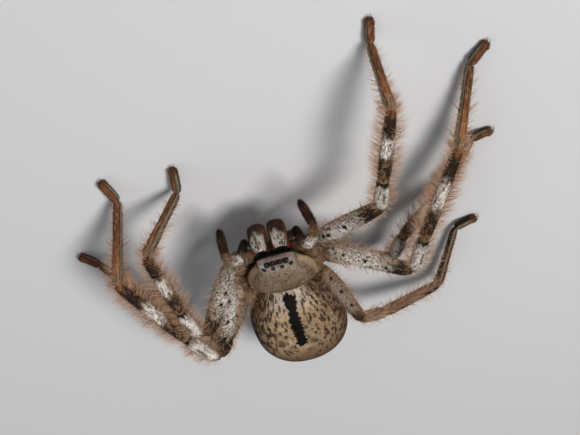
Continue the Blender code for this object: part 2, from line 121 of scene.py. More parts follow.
LEG_JOINTS = {
    "left_1": ((3.0, -3.5, 12.8), (9.3, -7.4, 16.4), (20.5, 5.9, 22.1), (23.5, -1.9, 22.0),
               (26.4, -16.2, 17.0), (17.7, -19.5, 2.9), (16.8, -24.7, 0.8)),
    "left_2": ((3.2, -1.2, 12.0), (11.0, -1.9, 14.1), (19.8, 16.2, 20.3), (25.0, 7.4, 21.4),
               (35.1, -10.0, 16.8), (31.1, -21.1, 2.3), (32.9, -26.4, 0.8)),
    "left_3": ((3.0, 1.5, 11.2), (10.2, 3.1, 12.0), (21.2, 17.3, 14.6), (25.4, 9.5, 15.1),
               (34.2, -4.8, 13.3), (41.1, -3.2, 2.0), (44.7, -6.4, 0.8)),
    "left_4": ((2.6, 3.4, 10.8), (8.6, 6.9, 11.2), (18.3, 22.6, 10.4), (23.0, 28.4, 7.5),
               (32.9, 19.6, 4.0), (36.6, 4.7, 2.3), (39.0, 0.3, 0.8)),
    "right_1": ((-3.0, -3.5, 12.8), (-9.5, -6.7, 15.9), (-25.8, -15.9, 20.6), (-28.1, -24.4, 22.3),
                (-33.7, -38.7, 17.4), (-33.1, -44.9, 2.3), (-34.3, -50.2, 0.8)),
    "right_2": ((-3.2, -1.2, 12.0), (-10.8, -2.1, 14.5), (-28.1, 10.1, 15.8), (-32.6, 0.9, 17.2),
                (-45.4, -15.4, 9.2), (-52.5, -31.9, 2.2), (-57.0, -35.4, 0.8)),
    "right_3": ((-3.0, 1.5, 11.2), (-10.2, 2.9, 12.2), (-23.9, 13.2, 7.5), (-28.0, 6.0, 9.7),
                (-40.9, -0.3, 3.5), (-48.8, -10.7, 2.5), (-53.5, -10.5, 0.8)),
    "right_4": ((-2.6, 3.4, 10.8), (-8.3, 7.1, 11.4), (-13.6, 22.2, 15.4), (-18.8, 27.0, 11.4),
                (-32.5, 28.7, 5.4), (-40.2, 15.5, 2.2), (-45.2, 15.0, 0.8)),
}
LEG_BENDS = (0.0, 1.9, 2.3, 3.0, 2.6, 2.4)
SEGMENTS = ("coxa", "femur", "patella", "tibia", "metatarsus", "tarsus")
FEMUR, PATELLA, TIBIA, METATARSUS = range(1, 5)
PROFILES = {
    "coxa": ((0.0, 1.3), (0.5, 1.75), (0.85, 1.75), (1.0, 1.45)),
    "femur": ((0.0, 1.35), (0.10, 1.70), (0.30, 2.15), (0.6, 2.05), (0.9, 1.75), (1.0, 1.5)),
    "patella": ((0.0, 1.45), (0.2, 1.65), (0.5, 1.75), (0.85, 1.65), (1.0, 1.4)),
    "tibia": ((0.0, 1.35), (0.12, 1.6), (0.4, 1.6), (0.88, 1.4), (1.0, 1.2)),
    "metatarsus": ((0.0, 1.15), (0.12, 1.3), (0.5, 1.12), (0.9, 1.05), (1.0, 0.85)),
    "tarsus": ((0.0, 0.9), (0.2, 1.1), (0.8, 1.08), (0.95, 0.9), (1.0, 0.5)),
}
PAIR_SCALE = {"1": 1.0, "2": 1.04, "3": 0.92, "4": 0.88}

PALP_JOINTS = {
    "left": ((5.9, -8.8, 12.8), (7.2, -9.9, 19.3), (8.6, -10.9, 20.8), (10.2, -10.9, 17.6),
             (10.4, -13.4, 11.9)),
    "right": ((-5.9, -8.6, 12.8), (-7.2, -9.6, 19.1), (-8.9, -10.4, 20.0), (-10.5, -13.4, 18.4),
              (-8.9, -17.0, 13.4)),
}
PALP_BENDS = (0.0, 1.5, 1.8, 1.8)
PALP_RADII = (0.85, 1.15, 1.1, 0.95)

CHELICERA = (
    (6.3, -2.32, 2.2, 1.5, 1.2),
    (6.9, -2.8, 2.25, 2.0, 2.0),
    (7.8, -3.9, 2.3, 2.12, 2.3),
    (8.5, -5.3, 2.3, 2.15, 2.2),
    (8.9, -6.6, 2.25, 2.08, 1.95),
    (9.1, -7.5, 2.22, 1.85, 1.5),
    (9.1, -8.0, 2.2, 1.25, 0.9),
)
# Both jaws and their fangs hang a little to the left.
JAW_SWING = 0.4
FANG = ((7.3, 2.4, -8.5), (6.7, 1.5, -9.3), (4.9, 0.75, -8.6))

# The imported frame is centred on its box, and this is how far that moved the spider.
low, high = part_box("abdomen")
SHIFT = np.array(((low[0] + high[0]) / 2 / MM - ABDOMEN_SIDE,
                  (low[1] + high[1]) / 2 / MM - (ABDOMEN_FRONT_Y + ABDOMEN_REAR_Y) / 2, 0.0))

# The camera stands where the photograph was taken from.
CAMERA_AZIMUTH = math.radians(-7.4)
CAMERA_ELEVATION = math.radians(46.0)
CAMERA_ROLL = math.radians(170.0)
CAMERA_DISTANCE = 405.0
CAMERA_TARGET = np.array((-4.04, -0.01, 0.0))
CAMERA_LENS = 108.8
SENSOR_WIDTH = 36.0


def linear(red, green, blue):
    """A colour from 0 to 255 as linear light."""
    scaled = np.array((red, green, blue)) / 255
    return np.where(scaled <= 0.04045, scaled / 12.92, ((scaled + 0.055) / 1.055) ** 2.4)


COLOUR = {
    "white": linear(208, 200, 191),
    "pale": linear(172, 160, 147),
    "grey": linear(128, 114, 100),
    "tan": linear(136, 110, 83),
    "brown": linear(86, 61, 43),
    "dark": linear(44, 29, 20),
    "black": linear(9, 7, 6),
    "orange": linear(148, 98, 62),
    "rust": linear(108, 67, 41),
    "cream": linear(180, 155, 125),
    "rosy": linear(112, 82, 60),
    "red": linear(52, 22, 14),
    "scarlet": linear(150, 30, 18),
    "moss": linear(112, 110, 94),
    "brow": linear(138, 118, 108),
    "fringe": linear(166, 134, 110),
}


# Helpers for numbers and colours

def unit(rows):
    """Each row as a vector of length 1."""
    return rows / np.maximum(np.linalg.norm(rows, axis=-1, keepdims=True), 1e-9)


def fade(low_edge, high_edge, value):
    """A smooth step from 0 at the low edge to 1 at the high edge, which may be the smaller number."""
    share = np.clip((value - low_edge) / (high_edge - low_edge), 0.0, 1.0)
    return share * share * (3 - 2 * share)


def mix(first, second, share):
    """The first colour with a share of the second."""
    share = np.asarray(share)[..., None]
    return first * (1 - share) + second * share


def paint(tint, *layers):
    """Lays colours over a tint in turn, each by its name or as a value, and by its share."""
    for colour, share in layers:
        tint = mix(tint, COLOUR[colour] if isinstance(colour, str) else colour, share)
    return tint


def ramp(stops, share):
    """Colours between stops, each a share and the name of a colour."""
    places, names = zip(*stops)
    return np.stack([np.interp(share, places, [COLOUR[name][k] for name in names]) for k in range(3)], -1)


def plain(name):
    """A colour function that gives one colour all over."""
    return lambda share, turn: np.zeros((*share.shape, 3)) + COLOUR[name]


def coat_uv(share, turn):
    """Places on the coat's map for shares of a length and turns round it."""
    return np.stack([0.01 + share * 0.98, 0.01 + (turn % 1.0) * 0.98], 1)


def hand_of(name):
    return 1 if name.startswith("right") else -1


def scatter(cell_x, cell_y, seed):
    """A repeatable random number from 0 to 1 for each pair of whole numbers."""
    code = (cell_x.astype(np.int64) * 374761393 + cell_y.astype(np.int64) * 668265263
            + seed * 982451653) & 0xFFFFFFFF
    code = ((code ^ (code >> 13)) * 1274126177) & 0xFFFFFFFF
    return ((code ^ (code >> 16)) & 0xFFFFFF) / float(0x1000000)


def spots(across, along, seed):
    """Distance to the nearest of many scattered points, and that point's own random number."""
    base_x = np.floor(across)
    base_y = np.floor(along)
    best = np.full(across.shape, 9.0)
    own = np.zeros(across.shape)
    for step_x in (-1, 0, 1):
        for step_y in (-1, 0, 1):
            cell_x = base_x + step_x
            cell_y = base_y + step_y
            point_x = cell_x + scatter(cell_x, cell_y, seed)
            point_y = cell_y + scatter(cell_x, cell_y, seed + 1)
            distance = np.hypot(across - point_x, along - point_y)
            nearer = distance < best
            best = np.where(nearer, distance, best)
            own = np.where(nearer, scatter(cell_x, cell_y, seed + 2), own)
    return best, own


def cloud(across, along, seed):
    """Smooth noise from 0 to 1."""
    base_x = np.floor(across)
    base_y = np.floor(along)
    part_x = across - base_x
    part_y = along - base_y
    part_x = part_x * part_x * (3 - 2 * part_x)
    part_y = part_y * part_y * (3 - 2 * part_y)
    lower = scatter(base_x, base_y, seed) * (1 - part_x) + scatter(base_x + 1, base_y, seed) * part_x
    upper = scatter(base_x, base_y + 1, seed) * (1 - part_x) + scatter(base_x + 1, base_y + 1, seed) * part_x
    return lower * (1 - part_y) + upper * part_y


def grain(across, along, size, seed, low=0.7, high=1.3):
    """Fine patches of lighter and darker hair, as a factor for a colour."""
    return (low + (high - low) * cloud(across / size, along / size, seed))[..., None]


def read_table(rows, share):
    """Smooth values at one share, from rows whose first entries rise from 0 to 1."""
    last = len(rows) - 1
    spot = 0
    while spot < last - 1 and share > rows[spot + 1][0]:
        spot += 1
    before = rows[max(spot - 1, 0)]
    low = rows[spot]
    high = rows[spot + 1]
    after = rows[min(spot + 2, last)]
    width = high[0] - low[0]
    part = min(max((share - low[0]) / width, 0.0), 1.0)
    values = []
    for index in range(1, len(low)):
        rise_in = (high[index] - before[index]) / max(high[0] - before[0], 1e-6) * width
        rise_out = (after[index] - low[index]) / max(after[0] - low[0], 1e-6) * width
        values.append(
            low[index] * (2 * part**3 - 3 * part**2 + 1)
            + rise_in * (part**3 - 2 * part**2 + part)
            + high[index] * (3 * part**2 - 2 * part**3)
            + rise_out * (part**3 - part**2)
        )
    return values


def curve(rows, count=400):
    """A reader that gives one column of a table, smoothed, at any shares."""
    shares = np.linspace(0, 1, count)
    columns = np.array([read_table(rows, share) for share in shares]).T
    return lambda share, column=0: np.interp(share, shares, columns[column])


def at_body(forward, side, up):
    """A place given along the axes of the tilted front body."""
    forward, side, up = np.broadcast_arrays(forward, side, up)
    return BODY_CENTRE + forward[..., None] * FORWARD + side[..., None] * LEFT + up[..., None] * UP


def rounded_path(joints, bends):
    """Samples of a line whose corners are arcs through the joints, and each joint's length."""
    corners = [Vector(joint) for joint in joints]
    for _ in range(4):
        moved = [corners[0]]
        for index in range(1, len(joints) - 1):
            into = (corners[index] - corners[index - 1]).normalized()
            out = (corners[index + 1] - corners[index]).normalized()
            half = into.angle(out) / 2
            outward = into - out
            if outward.length > 1e-6:
                outward.normalize()
            reach = bends[index] * (1 / math.cos(half) - 1)
            moved.append(Vector(joints[index]) + outward * reach)
        moved.append(corners[-1])
        corners = moved
    samples = [(0.0, corners[0])]
    marks = [0.0]
    length = 0.0
    here = corners[0]
    for index in range(1, len(joints) - 1):
        into = (corners[index] - corners[index - 1]).normalized()
        out = (corners[index + 1] - corners[index]).normalized()
        turn = into.angle(out)
        start = corners[index] - into * (bends[index] * math.tan(turn / 2))
        length += (start - here).length
        samples.append((length, start))
        side = out - into * out.dot(into)
        if side.length > 1e-6:
            side.normalize()
        centre = start + side * bends[index]
        steps = max(4, 2 * math.ceil(turn / math.radians(6)))
        arc_start = length
        for step in range(1, steps + 1):
            angle = turn * step / steps
            point = centre - side * bends[index] * math.cos(angle) + into * bends[index] * math.sin(angle)
            length = arc_start + bends[index] * angle
            samples.append((length, point))
        marks.append(arc_start + bends[index] * turn / 2)
        here = samples[-1][1]
    length += (corners[-1] - here).length
    samples.append((length, corners[-1]))
    marks.append(length)
    lengths = np.array([sample[0] for sample in samples])
    points = np.array([tuple(sample[1]) for sample in samples])
    return lengths, points, np.array(marks)


class Limb:
    """A limb's centre line with a turning frame and a radius at every length."""

    def __init__(self, joints, bends, radius_at):
        lengths, points, self.marks = rounded_path(joints, bends)
        self.total = self.marks[-1]
        self.at = np.linspace(0, self.total, 900)
        self.centre = np.stack([np.interp(self.at, lengths, points[:, k]) for k in range(3)], 1)
        self.ahead = unit(np.gradient(self.centre, axis=0))
        side = np.cross(self.ahead[0], (0.0, 0.0, 1.0))
        sides = []
        for ahead in self.ahead:
            side = side - ahead * side.dot(ahead)
            side = side / np.linalg.norm(side)
            sides.append(side)
        self.side = np.array(sides)
        self.top = unit(np.cross(self.side, self.ahead))
        self.radius = np.array([radius_at(self, length) for length in self.at])

    def read(self, rows, length):
        return np.stack([np.interp(length, self.at, rows[:, k]) for k in range(3)], -1)

    def surface(self, share, turn):
        """Points on the skin at shares of the length and turns round it, with turn 0 on top."""
        length = share * self.total
        angle = turn * 2 * math.pi
        out = (self.read(self.top, length) * np.cos(angle)[..., None]
               + self.read(self.side, length) * np.sin(angle)[..., None])
        points = self.read(self.centre, length) + out * np.interp(length, self.at, self.radius)[..., None]
        points[..., 2] = np.maximum(points[..., 2], SKIN_GAP)
        return points

    def rooted(self, length, turn):
        """For hairs at some lengths and turns: roots, the ways out and ahead, and places on the coat's map."""
        share = length / self.total
        roots = self.surface(share, turn)
        out = unit(roots - self.read(self.centre, length))
        return roots, out, self.read(self.ahead, length), coat_uv(share, turn)


def segment_of(limb, length):
    """The segment number and the share along it at each length."""
    number = np.clip(np.searchsorted(limb.marks, length, side="right") - 1, 0, len(limb.marks) - 2)
    start = limb.marks[number]
    return number, (length - start) / (limb.marks[number + 1] - start)


# Meshes

def new_mesh(name, points, faces, tint, uv=None, smooth=True):
    """A mesh object from points in millimetres, a list of face arrays and a colour for each point."""
    mesh = bpy.data.meshes.new(name)
    mesh.vertices.add(len(points))
    mesh.vertices.foreach_set("co", ((points + SHIFT) * MM).astype(np.float32).ravel())
    corners = np.concatenate([np.asarray(group).ravel() for group in faces]).astype(np.int32)
    sizes = np.concatenate([np.full(len(group), len(group[0]), np.int32) for group in faces])
    mesh.loops.add(len(corners))
    mesh.loops.foreach_set("vertex_index", corners)
    mesh.polygons.add(len(sizes))
    mesh.polygons.foreach_set("loop_start", np.concatenate([[0], np.cumsum(sizes)[:-1]]).astype(np.int32))
    mesh.update(calc_edges=True)
    colours = mesh.color_attributes.new("tint", "FLOAT_COLOR", "POINT")
    rows = np.ones((len(points), 4), np.float32)
    rows[:, :3] = tint
    colours.data.foreach_set("color", rows.ravel())
    if uv is not None:
        layer = mesh.uv_layers.new(name="OFBake")
        layer.data.foreach_set("uv", uv[corners].astype(np.float32).ravel())
    mesh.polygons.foreach_set("use_smooth", np.full(len(sizes), smooth))
    piece = bpy.data.objects.new(name, mesh)
    bpy.context.scene.collection.objects.link(piece)
    return piece


def tube_mesh(surface, colour, rows, sides):
    """Points, faces and colours of a closed tube. Rows is a count of rings or their shares of the length."""
    shares = np.linspace(0, 1, rows) if np.isscalar(rows) else rows
    rows = len(shares)
    grid_share, grid_turn = np.meshgrid(shares, np.arange(sides) / sides, indexing="ij")
    points = surface(grid_share, grid_turn).reshape(-1, 3)
    tint = colour(grid_share, grid_turn).reshape(-1, 3)
    row = np.arange(rows - 1)[:, None] * sides
    side = np.arange(sides)[None, :]
    after = (side + 1) % sides
    quads = np.stack([row + side, row + after, row + sides + after, row + sides + side], -1).reshape(-1, 4)
    ends = np.stack([points[:sides].mean(0), points[-sides:].mean(0)])
    points = np.concatenate([points, ends])
    tint = np.concatenate([tint, tint[:1], tint[-1:]])
    ring = np.arange(sides)
    front = np.stack([(ring + 1) % sides, ring, np.full(sides, len(points) - 2)], -1)
    back_row = (rows - 1) * sides
    back = np.stack([back_row + ring, back_row + (ring + 1) % sides, np.full(sides, len(points) - 1)], -1)
    return points, [quads, np.concatenate([front, back])], tint


def crowded(rings, sides):
    """The same grid with its rings crowded towards both ends."""
    return 0.5 - 0.5 * np.cos(np.linspace(0, math.pi, rings)), sides


def merge(parts):
    """Several (points, faces, colours) as one."""
    points = []
    tints = []
    groups = {}
    offset = 0
    for part_points, part_faces, part_tint in parts:
        points.append(part_points)
        tints.append(part_tint)
        for group in part_faces:
            groups.setdefault(group.shape[1], []).append(group + offset)
        offset += len(part_points)
    return np.concatenate(points), [np.concatenate(rows) for rows in groups.values()], np.concatenate(tints)


def tufts(name, roots, ways, lengths, widths, tint, uv, droop=None, parts=1, tip_tint=None):
    """Thin tapering hairs from roots along ways. Droop moves each tip, and parts is 1 or 2."""
    count = len(roots)
    side = unit(np.cross(ways, unit(np.random.default_rng(RANDOM_SEED).normal(size=(count, 3)))))
    over = np.cross(side, ways)
    droop = np.zeros((count, 3)) if droop is None else droop
    tip_tint = tint if tip_tint is None else tip_tint
    rings = []
    tints = []
    for step in range(parts):
        share = step / parts
        centre = roots + ways * (lengths * share)[:, None] + droop * share**2
        for corner in range(3):
            angle = 2 * math.pi * corner / 3
            offset = side * math.cos(angle) + over * math.sin(angle)
            rings.append(centre + offset * (widths / 2 * (1 - share * 0.6))[:, None])
            tints.append(mix(tint, tip_tint, np.full(count, share)))
    rings.append(roots + ways * lengths[:, None] + droop)
    tints.append(tip_tint)
    each = len(rings)
    points = np.stack(rings, 1).reshape(-1, 3)
    colours = np.stack(tints, 1).reshape(-1, 3)
    points[:, 2] = np.maximum(points[:, 2], HAIR_GAP)
    base = np.arange(count)[:, None] * each
    tip = each - 1
    last = (parts - 1) * 3
    faces = [np.concatenate([base + np.array([[last + k, last + (k + 1) % 3, tip]]) for k in range(3)])]
    if parts == 2:
        rounds = [np.array([[k, (k + 1) % 3, 3 + (k + 1) % 3, 3 + k]]) for k in range(3)]
        faces.append(np.concatenate([base + corners for corners in rounds]))
    corner_uv = np.array([(-1, -1), (1, -1), (0, 1)]) * 0.0015
    spread = np.array([corner_uv[k % 3] if k < tip else (0.0, 0.0) for k in range(each)])
    all_uv = (uv[:, None, :] + spread[None]).reshape(-1, 2)
    return new_mesh(name, points, faces, colours, np.clip(all_uv, 0, 1), smooth=False)


def root_points(surface, count, rng, share_range=(0.0, 1.0), turn_range=(0.0, 1.0), weight=None):
    """Even random roots on a surface: share, turn, point, outward way and the way along."""
    tries = count * 3
    share = rng.uniform(*share_range, tries)
    turn = rng.uniform(*turn_range, tries)
    step = 1e-3
    here = surface(share, turn)
    along = surface(np.minimum(share + step, 1), turn) - surface(np.maximum(share - step, 0), turn)
    around = surface(share, turn + step) - surface(share, turn - step)
    normal = np.cross(around, along)
    area = np.linalg.norm(normal, axis=1)
    chance = area if weight is None else area * weight(share, turn)
    chance = chance / np.maximum(chance.max(), 1e-12)
    order = np.argsort(-(np.log(chance + 1e-12) + rng.gumbel(size=tries)))[:count]
    return share[order], turn[order], here[order], unit(normal)[order], unit(along)[order]


# Materials

def coat_material(name, roughness, bump, gloss, scale):
    """A material whose colour is the painted tint, broken up by fine noise, with a fine bump."""
    material = bpy.data.materials.new(name)
    material.use_nodes = True
    links = material.node_tree.links
    shader = material.node_tree.nodes["Principled BSDF"]
    shader.inputs["Specular IOR Level"].default_value = gloss

    def node(kind, values=(), sources=()):
        made = material.node_tree.nodes.new("ShaderNode" + kind)
        for socket, value in dict(values).items():
            made.inputs[socket].default_value = value
        for socket, source in dict(sources).items():
            links.new(source, made.inputs[socket])
        return made

    tint = node("Attribute")
    tint.attribute_name = "tint"
    place = {"Vector": node("TexCoord").outputs["Object"]}
    noise = {"Value": node("TexNoise", {"Scale": scale, "Detail": 6.0}, place).outputs["Fac"]}
    spread = node("MapRange", {"From Min": 0.3, "From Max": 0.7, "To Min": 0.66, "To Max": 1.3}, noise)
    shade = node("VectorMath")
    shade.operation = "SCALE"
    links.new(tint.outputs["Color"], shade.inputs[0])
    links.new(spread.outputs["Result"], shade.inputs["Scale"])
    links.new(shade.outputs["Vector"], shader.inputs["Base Color"])
    rough = node("MapRange", {"To Min": roughness - 0.12, "To Max": roughness + 0.12}, noise)
    links.new(rough.outputs["Result"], shader.inputs["Roughness"])
    grain = node("TexNoise", {"Scale": scale * 2.5, "Detail": 3.0}, place)
    relief = node("Bump", {"Strength": bump, "Distance": 0.0002}, {"Height": grain.outputs["Fac"]})
    links.new(relief.outputs["Normal"], shader.inputs["Normal"])
    return material


def wear(piece, material, nodes=()):
    """Gives a piece its material and its place in the frame, and hides the solids it stands for."""
    piece.data.materials.clear()
    piece.data.materials.append(material)
    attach(piece, "root")
    if nodes:
        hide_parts(*nodes)
    return piece


# Legs

RAMPS = {
    "front": {
        "coxa": ((0.0, "dark"), (0.4, "brown"), (0.8, "tan"), (1.0, "brown")),
        "femur": ((0.0, "brown"), (0.05, "grey"), (0.16, "pale"), (0.45, "white"), (0.70, "pale"),
                  (0.76, "grey"), (0.79, "dark"), (0.91, "dark"), (0.95, "brown"), (1.0, "brown")),
        "patella": ((0.0, "brown"), (0.06, "grey"), (0.2, "white"), (0.8, "white"), (0.95, "grey"),
                    (1.0, "brown")),
        "tibia": ((0.0, "tan"), (0.05, "rust"), (0.10, "dark"), (0.25, "dark"), (0.31, "brown"),
                  (0.36, "pale"), (0.42, "white"), (0.60, "white"), (0.65, "grey"), (0.69, "dark"),
                  (0.90, "dark"), (0.95, "rust"), (1.0, "orange")),
        "metatarsus": ((0.0, "tan"), (0.08, "tan"), (0.22, "orange"), (0.6, "rust"), (1.0, "rust")),
        "tarsus": ((0.0, "rust"), (0.75, "rust"), (1.0, "orange")),
    },
    "rear": {
        "coxa": ((0.0, "dark"), (0.4, "brown"), (0.8, "tan"), (1.0, "brown")),
        "femur": ((0.0, "brown"), (0.08, "tan"), (0.35, "grey"), (0.75, "grey"), (0.88, "brown"),
                  (1.0, "dark")),
        "patella": ((0.0, "brown"), (0.08, "tan"), (0.5, "grey"), (0.9, "tan"), (1.0, "brown")),
        "tibia": ((0.0, "tan"), (0.08, "brown"), (0.34, "brown"), (0.45, "tan"), (0.58, "grey"),
                  (0.66, "brown"), (0.80, "dark"), (0.94, "dark"), (1.0, "rust")),
        "metatarsus": ((0.0, "tan"), (0.15, "rust"), (1.0, "rust")),
        "tarsus": ((0.0, "rust"), (0.8, "rust"), (1.0, "orange")),
    },
}
# How thickly each pair of legs, and each segment, bears black specks and long dark lines.
SPECKLE = {"1": 1.0, "2": 0.9, "3": 0.6, "4": 0.3}
SPECKS = np.array((0.7, 1.0, 0.35, 0.45, 0.0, 0.0))
DARK_LINES = np.array((0.0, 0.05, 0.22, 0.45, 0.75, 0.5))
# The big black spots of each thigh, as shares of its length and degrees from its top towards the rear.
FEMUR_SPOTS = {
    "left_1": ((0.38, 30), (0.54, 35), (0.68, 60)),
    "left_2": ((0.30, 26), (0.55, 22), (0.76, 34)),
    "right_1": ((0.19, 36), (0.26, 27), (0.51, 31)),
    "right_2": ((0.19, 31), (0.44, 29), (0.69, 21)),
}
OTHER_FEMUR_SPOTS = ((0.17, 32), (0.43, 30), (0.70, 30))


def waist(limb, length, depth, width):
    """How much thinner a limb is at a length, because of the joint nearest to it."""
    return depth * math.exp(-((np.abs(limb.marks[1:-1] - length).min() / width) ** 2))


def leg_radius(scale):
    """The skin's radius, a little inside the solids, with a soft waist at each joint."""
    profiles = [curve(PROFILES[segment], 80) for segment in SEGMENTS]

    def radius(limb, length):
        number, share = segment_of(limb, np.array(length))
        size = profiles[int(number)](share) * scale - SKIN_DEPTH
        return max(size - waist(limb, length, 0.22, 0.28), 0.25)

    return radius


def leg_colours(limb, name):
    """The colour function of a leg: bands, specks, stripes and black spots."""
    pair = name[-1]
    hand = hand_of(name)
    ramps = RAMPS["rear" if pair == "4" else "front"]
    seed = 40 * int(pair) + (7 if hand > 0 else 0)

    def colour(share, turn):
        length = share * limb.total
        shape = length.shape
        length = length.ravel()
        angle = (turn.ravel() + 0.5) % 1.0 - 0.5
        inner = -hand * angle
        around = angle * 2 * math.pi * 1.6
        number, along = segment_of(limb, length)
        wander = cloud(around / 0.5, length / 0.8, seed) - 0.5
        ragged = along + wander * 0.10 * (along > 0.03) * (along < 0.97)
        tint = np.zeros((len(length), 3))
        for index, segment in enumerate(SEGMENTS):
            here = number == index
            tint[here] = ramp(ramps[segment], ragged[here])
        # The flanks of the pale parts are browner, the underside is brown, and reddish hair breaks up the
        # band next to each knee.
        flank = fade(0.10, 0.24, np.abs(angle)) * (number < METATARSUS)
        underside = fade(0.24, 0.40, np.abs(angle))
        mottle = cloud(around / 0.6, length / 0.9, seed + 2)
        basal = (number == TIBIA) * fade(0.36, 0.28, along) * fade(0.5, 0.75, mottle)
        tint = paint(tint, ("tan", flank * np.where(number == FEMUR, 0.3, 0.6)), ("brown", underside * 0.55),
                     ("tan", basal * 0.5))
        patchy = cloud(around / 1.3, length / 2.2, seed + 3)
        tint = tint * (0.80 + 0.36 * patchy)[:, None] * grain(around, length, 0.26, seed + 4)
        # Black specks cover the thighs and thin out towards the shins.
        distance, own = spots(around / 0.33, length / 0.42, seed + 5)
        amount = SPECKLE[pair] * SPECKS[number]
        speck = fade(0.42, 0.28, distance) * (own < 0.90 * amount) * (underside < 0.5)
        # Long thin lines run down the knees, shins and feet: dark ones, and pale ones on the feet.
        distance, own = spots(around / 0.40, length / 3.0, seed + 9)
        streak = fade(0.36, 0.18, distance) * (own < DARK_LINES[number])
        distance, own = spots(around / 0.36 + 50, length / 2.2, seed + 11)
        foot = number >= METATARSUS
        light = fade(0.32, 0.16, distance) * (own < 0.35) * foot
        tint = paint(tint, ("black", speck * 0.92), ("dark", streak * 0.85), ("cream", light * 0.5))
        # Each knee has a short black stripe and a thin black line across its end.
        knee = number == PATELLA
        stripe = knee * fade(0.034, 0.018, np.abs(angle - hand * 0.05))
        line = knee * fade(0.93, 0.955, ragged) * fade(0.21, 0.15, np.abs(angle))
        # The side of each foot that faces the head shows a strip of grey pad hair, and the sole is dark.
        sole = foot * np.maximum(fade(0.21, 0.25, inner), fade(0.26, 0.34, -inner))
        tint = paint(tint, ("black", stripe * fade(0.30, 0.38, along) * fade(0.78, 0.66, along) * 0.85),
                     ("black", line * (0.95 if pair in "12" else 0.5)),
                     ("dark", foot * fade(0.065, 0.085, inner) * fade(0.125, 0.10, inner) * 0.8),
                     ("moss", foot * fade(0.11, 0.13, inner) * fade(0.24, 0.20, inner) * 0.85),
                     (COLOUR["dark"] * 0.8, sole * 0.9))
        for place, degrees in FEMUR_SPOTS.get(name, OTHER_FEMUR_SPOTS):
            distance = np.hypot((along - place) * (limb.marks[2] - limb.marks[1]) * 0.85,
                                (angle + hand * degrees / 360) * 2 * math.pi * 1.9)
            tint = mix(tint, COLOUR["black"], (number == FEMUR) * fade(0.52, 0.36, distance))
        return tint.reshape(*shape, 3)

    return colour


def leg_rows(limb):
    """Shares of the length for the rings, closer together at each joint."""
    even = np.arange(0, limb.total, LEG_RING_STEP)
    near = np.concatenate([mark + np.linspace(-0.5, 0.5, 9) for mark in limb.marks[1:-1]])
    end = limb.total - np.array((0.6, 0.45, 0.3, 0.18, 0.08, 0.0))
    return np.unique(np.concatenate([even[even < limb.total - 0.6], near, end])) / limb.total


# Each coat's number of hairs, their lengths and widths in millimetres, and their lift in degrees.
COATS = {
    "leg": (15000, (0.2, 0.45), (0.05, 0.085), (8, 30)),
    "brush": (2600, (0.3, 0.5), (0.05, 0.08), (35, 65)),
    "palp": (3800, (0.45, 1.0), (0.05, 0.08), (12, 45)),
    "carapace": (30000, (0.22, 0.45), (0.05, 0.08), (5, 18)),
    "sternum": (5000, (0.4, 0.9), (0.05, 0.08), (10, 35)),
    "jaw": (4600, (0.3, 0.8), (0.05, 0.08), (8, 32)),
    "abdomen": (34000, (0.35, 0.7), (0.05, 0.09), (7, 24)),
    "guard": (1500, (0.7, 1.2), (0.04, 0.06), (22, 45)),
    "spinneret": (260, (0.3, 0.6), (0.05, 0.08), (15, 40)),
}


def fur_on(name, kind, surface, colour, rng, turn_range=(0, 1), share_range=(0, 1), weight=None,
           parts=1, spread=0.35, tip=None, droop=0.0):
    """A coat of short hairs that lie along a surface and take its colours."""
    count, length, width, lift = COATS[kind]
    share, turn, roots, out, along = root_points(surface, count, rng, share_range, turn_range, weight)
    count = len(roots)
    across = np.cross(out, along)
    angle = np.radians(rng.uniform(*lift, count))[:, None]
    swing = rng.normal(0, spread, count)[:, None]
    ways = unit((along * np.cos(swing) + across * np.sin(swing)) * np.cos(angle) + out * np.sin(angle))
    lengths = rng.uniform(*length, count)
    widths = rng.uniform(*width, count)
    tint = colour(share, turn) * rng.uniform(0.55, 1.45, count)[:, None]
    bend = along * (lengths * droop)[:, None]
    tip_tint = None if tip is None else mix(tint, tip, np.full(count, 0.7))
    wear(tufts(name, roots - out * 0.03, ways, lengths, widths, tint, coat_uv(share, turn), bend, parts,
               tip_tint), FUR)


def make_legs(skin_parts, rng):
    """Adds each leg to the skin and gives it its fur, fringe, spines and claws."""
    for name, joints in LEG_JOINTS.items():
        scale = PAIR_SCALE[name[-1]]
        limb = Limb(joints, [bend * scale for bend in LEG_BENDS], leg_radius(scale))
        colour = leg_colours(limb, name)
        skin_parts.append(tube_mesh(limb.surface, colour, leg_rows(limb), LEG_SIDES))
        start = limb.marks[1] / limb.total
        fur_on("coat_" + name, "leg", limb.surface, colour, rng, share_range=(start * 0.5, 0.995))
        fur_on("brush_" + name, "brush", limb.surface, colour, rng, turn_range=(0.24, 0.76),
               share_range=(limb.marks[METATARSUS] / limb.total, 0.99), spread=0.5)
        make_fringe(name, limb, rng)
        make_spines(name, limb, scale)
        make_claws(name, limb, scale)


FRINGE_PER_MM = 34
FRINGE_AMOUNT = {"femur": 0.55, "patella": 0.9, "tibia": 1.25, "metatarsus": 0.8}
FRINGE_LENGTH = {"femur": (1.1, 2.5), "patella": (1.8, 3.2), "tibia": (2.2, 4.0), "metatarsus": (1.4, 3.6)}


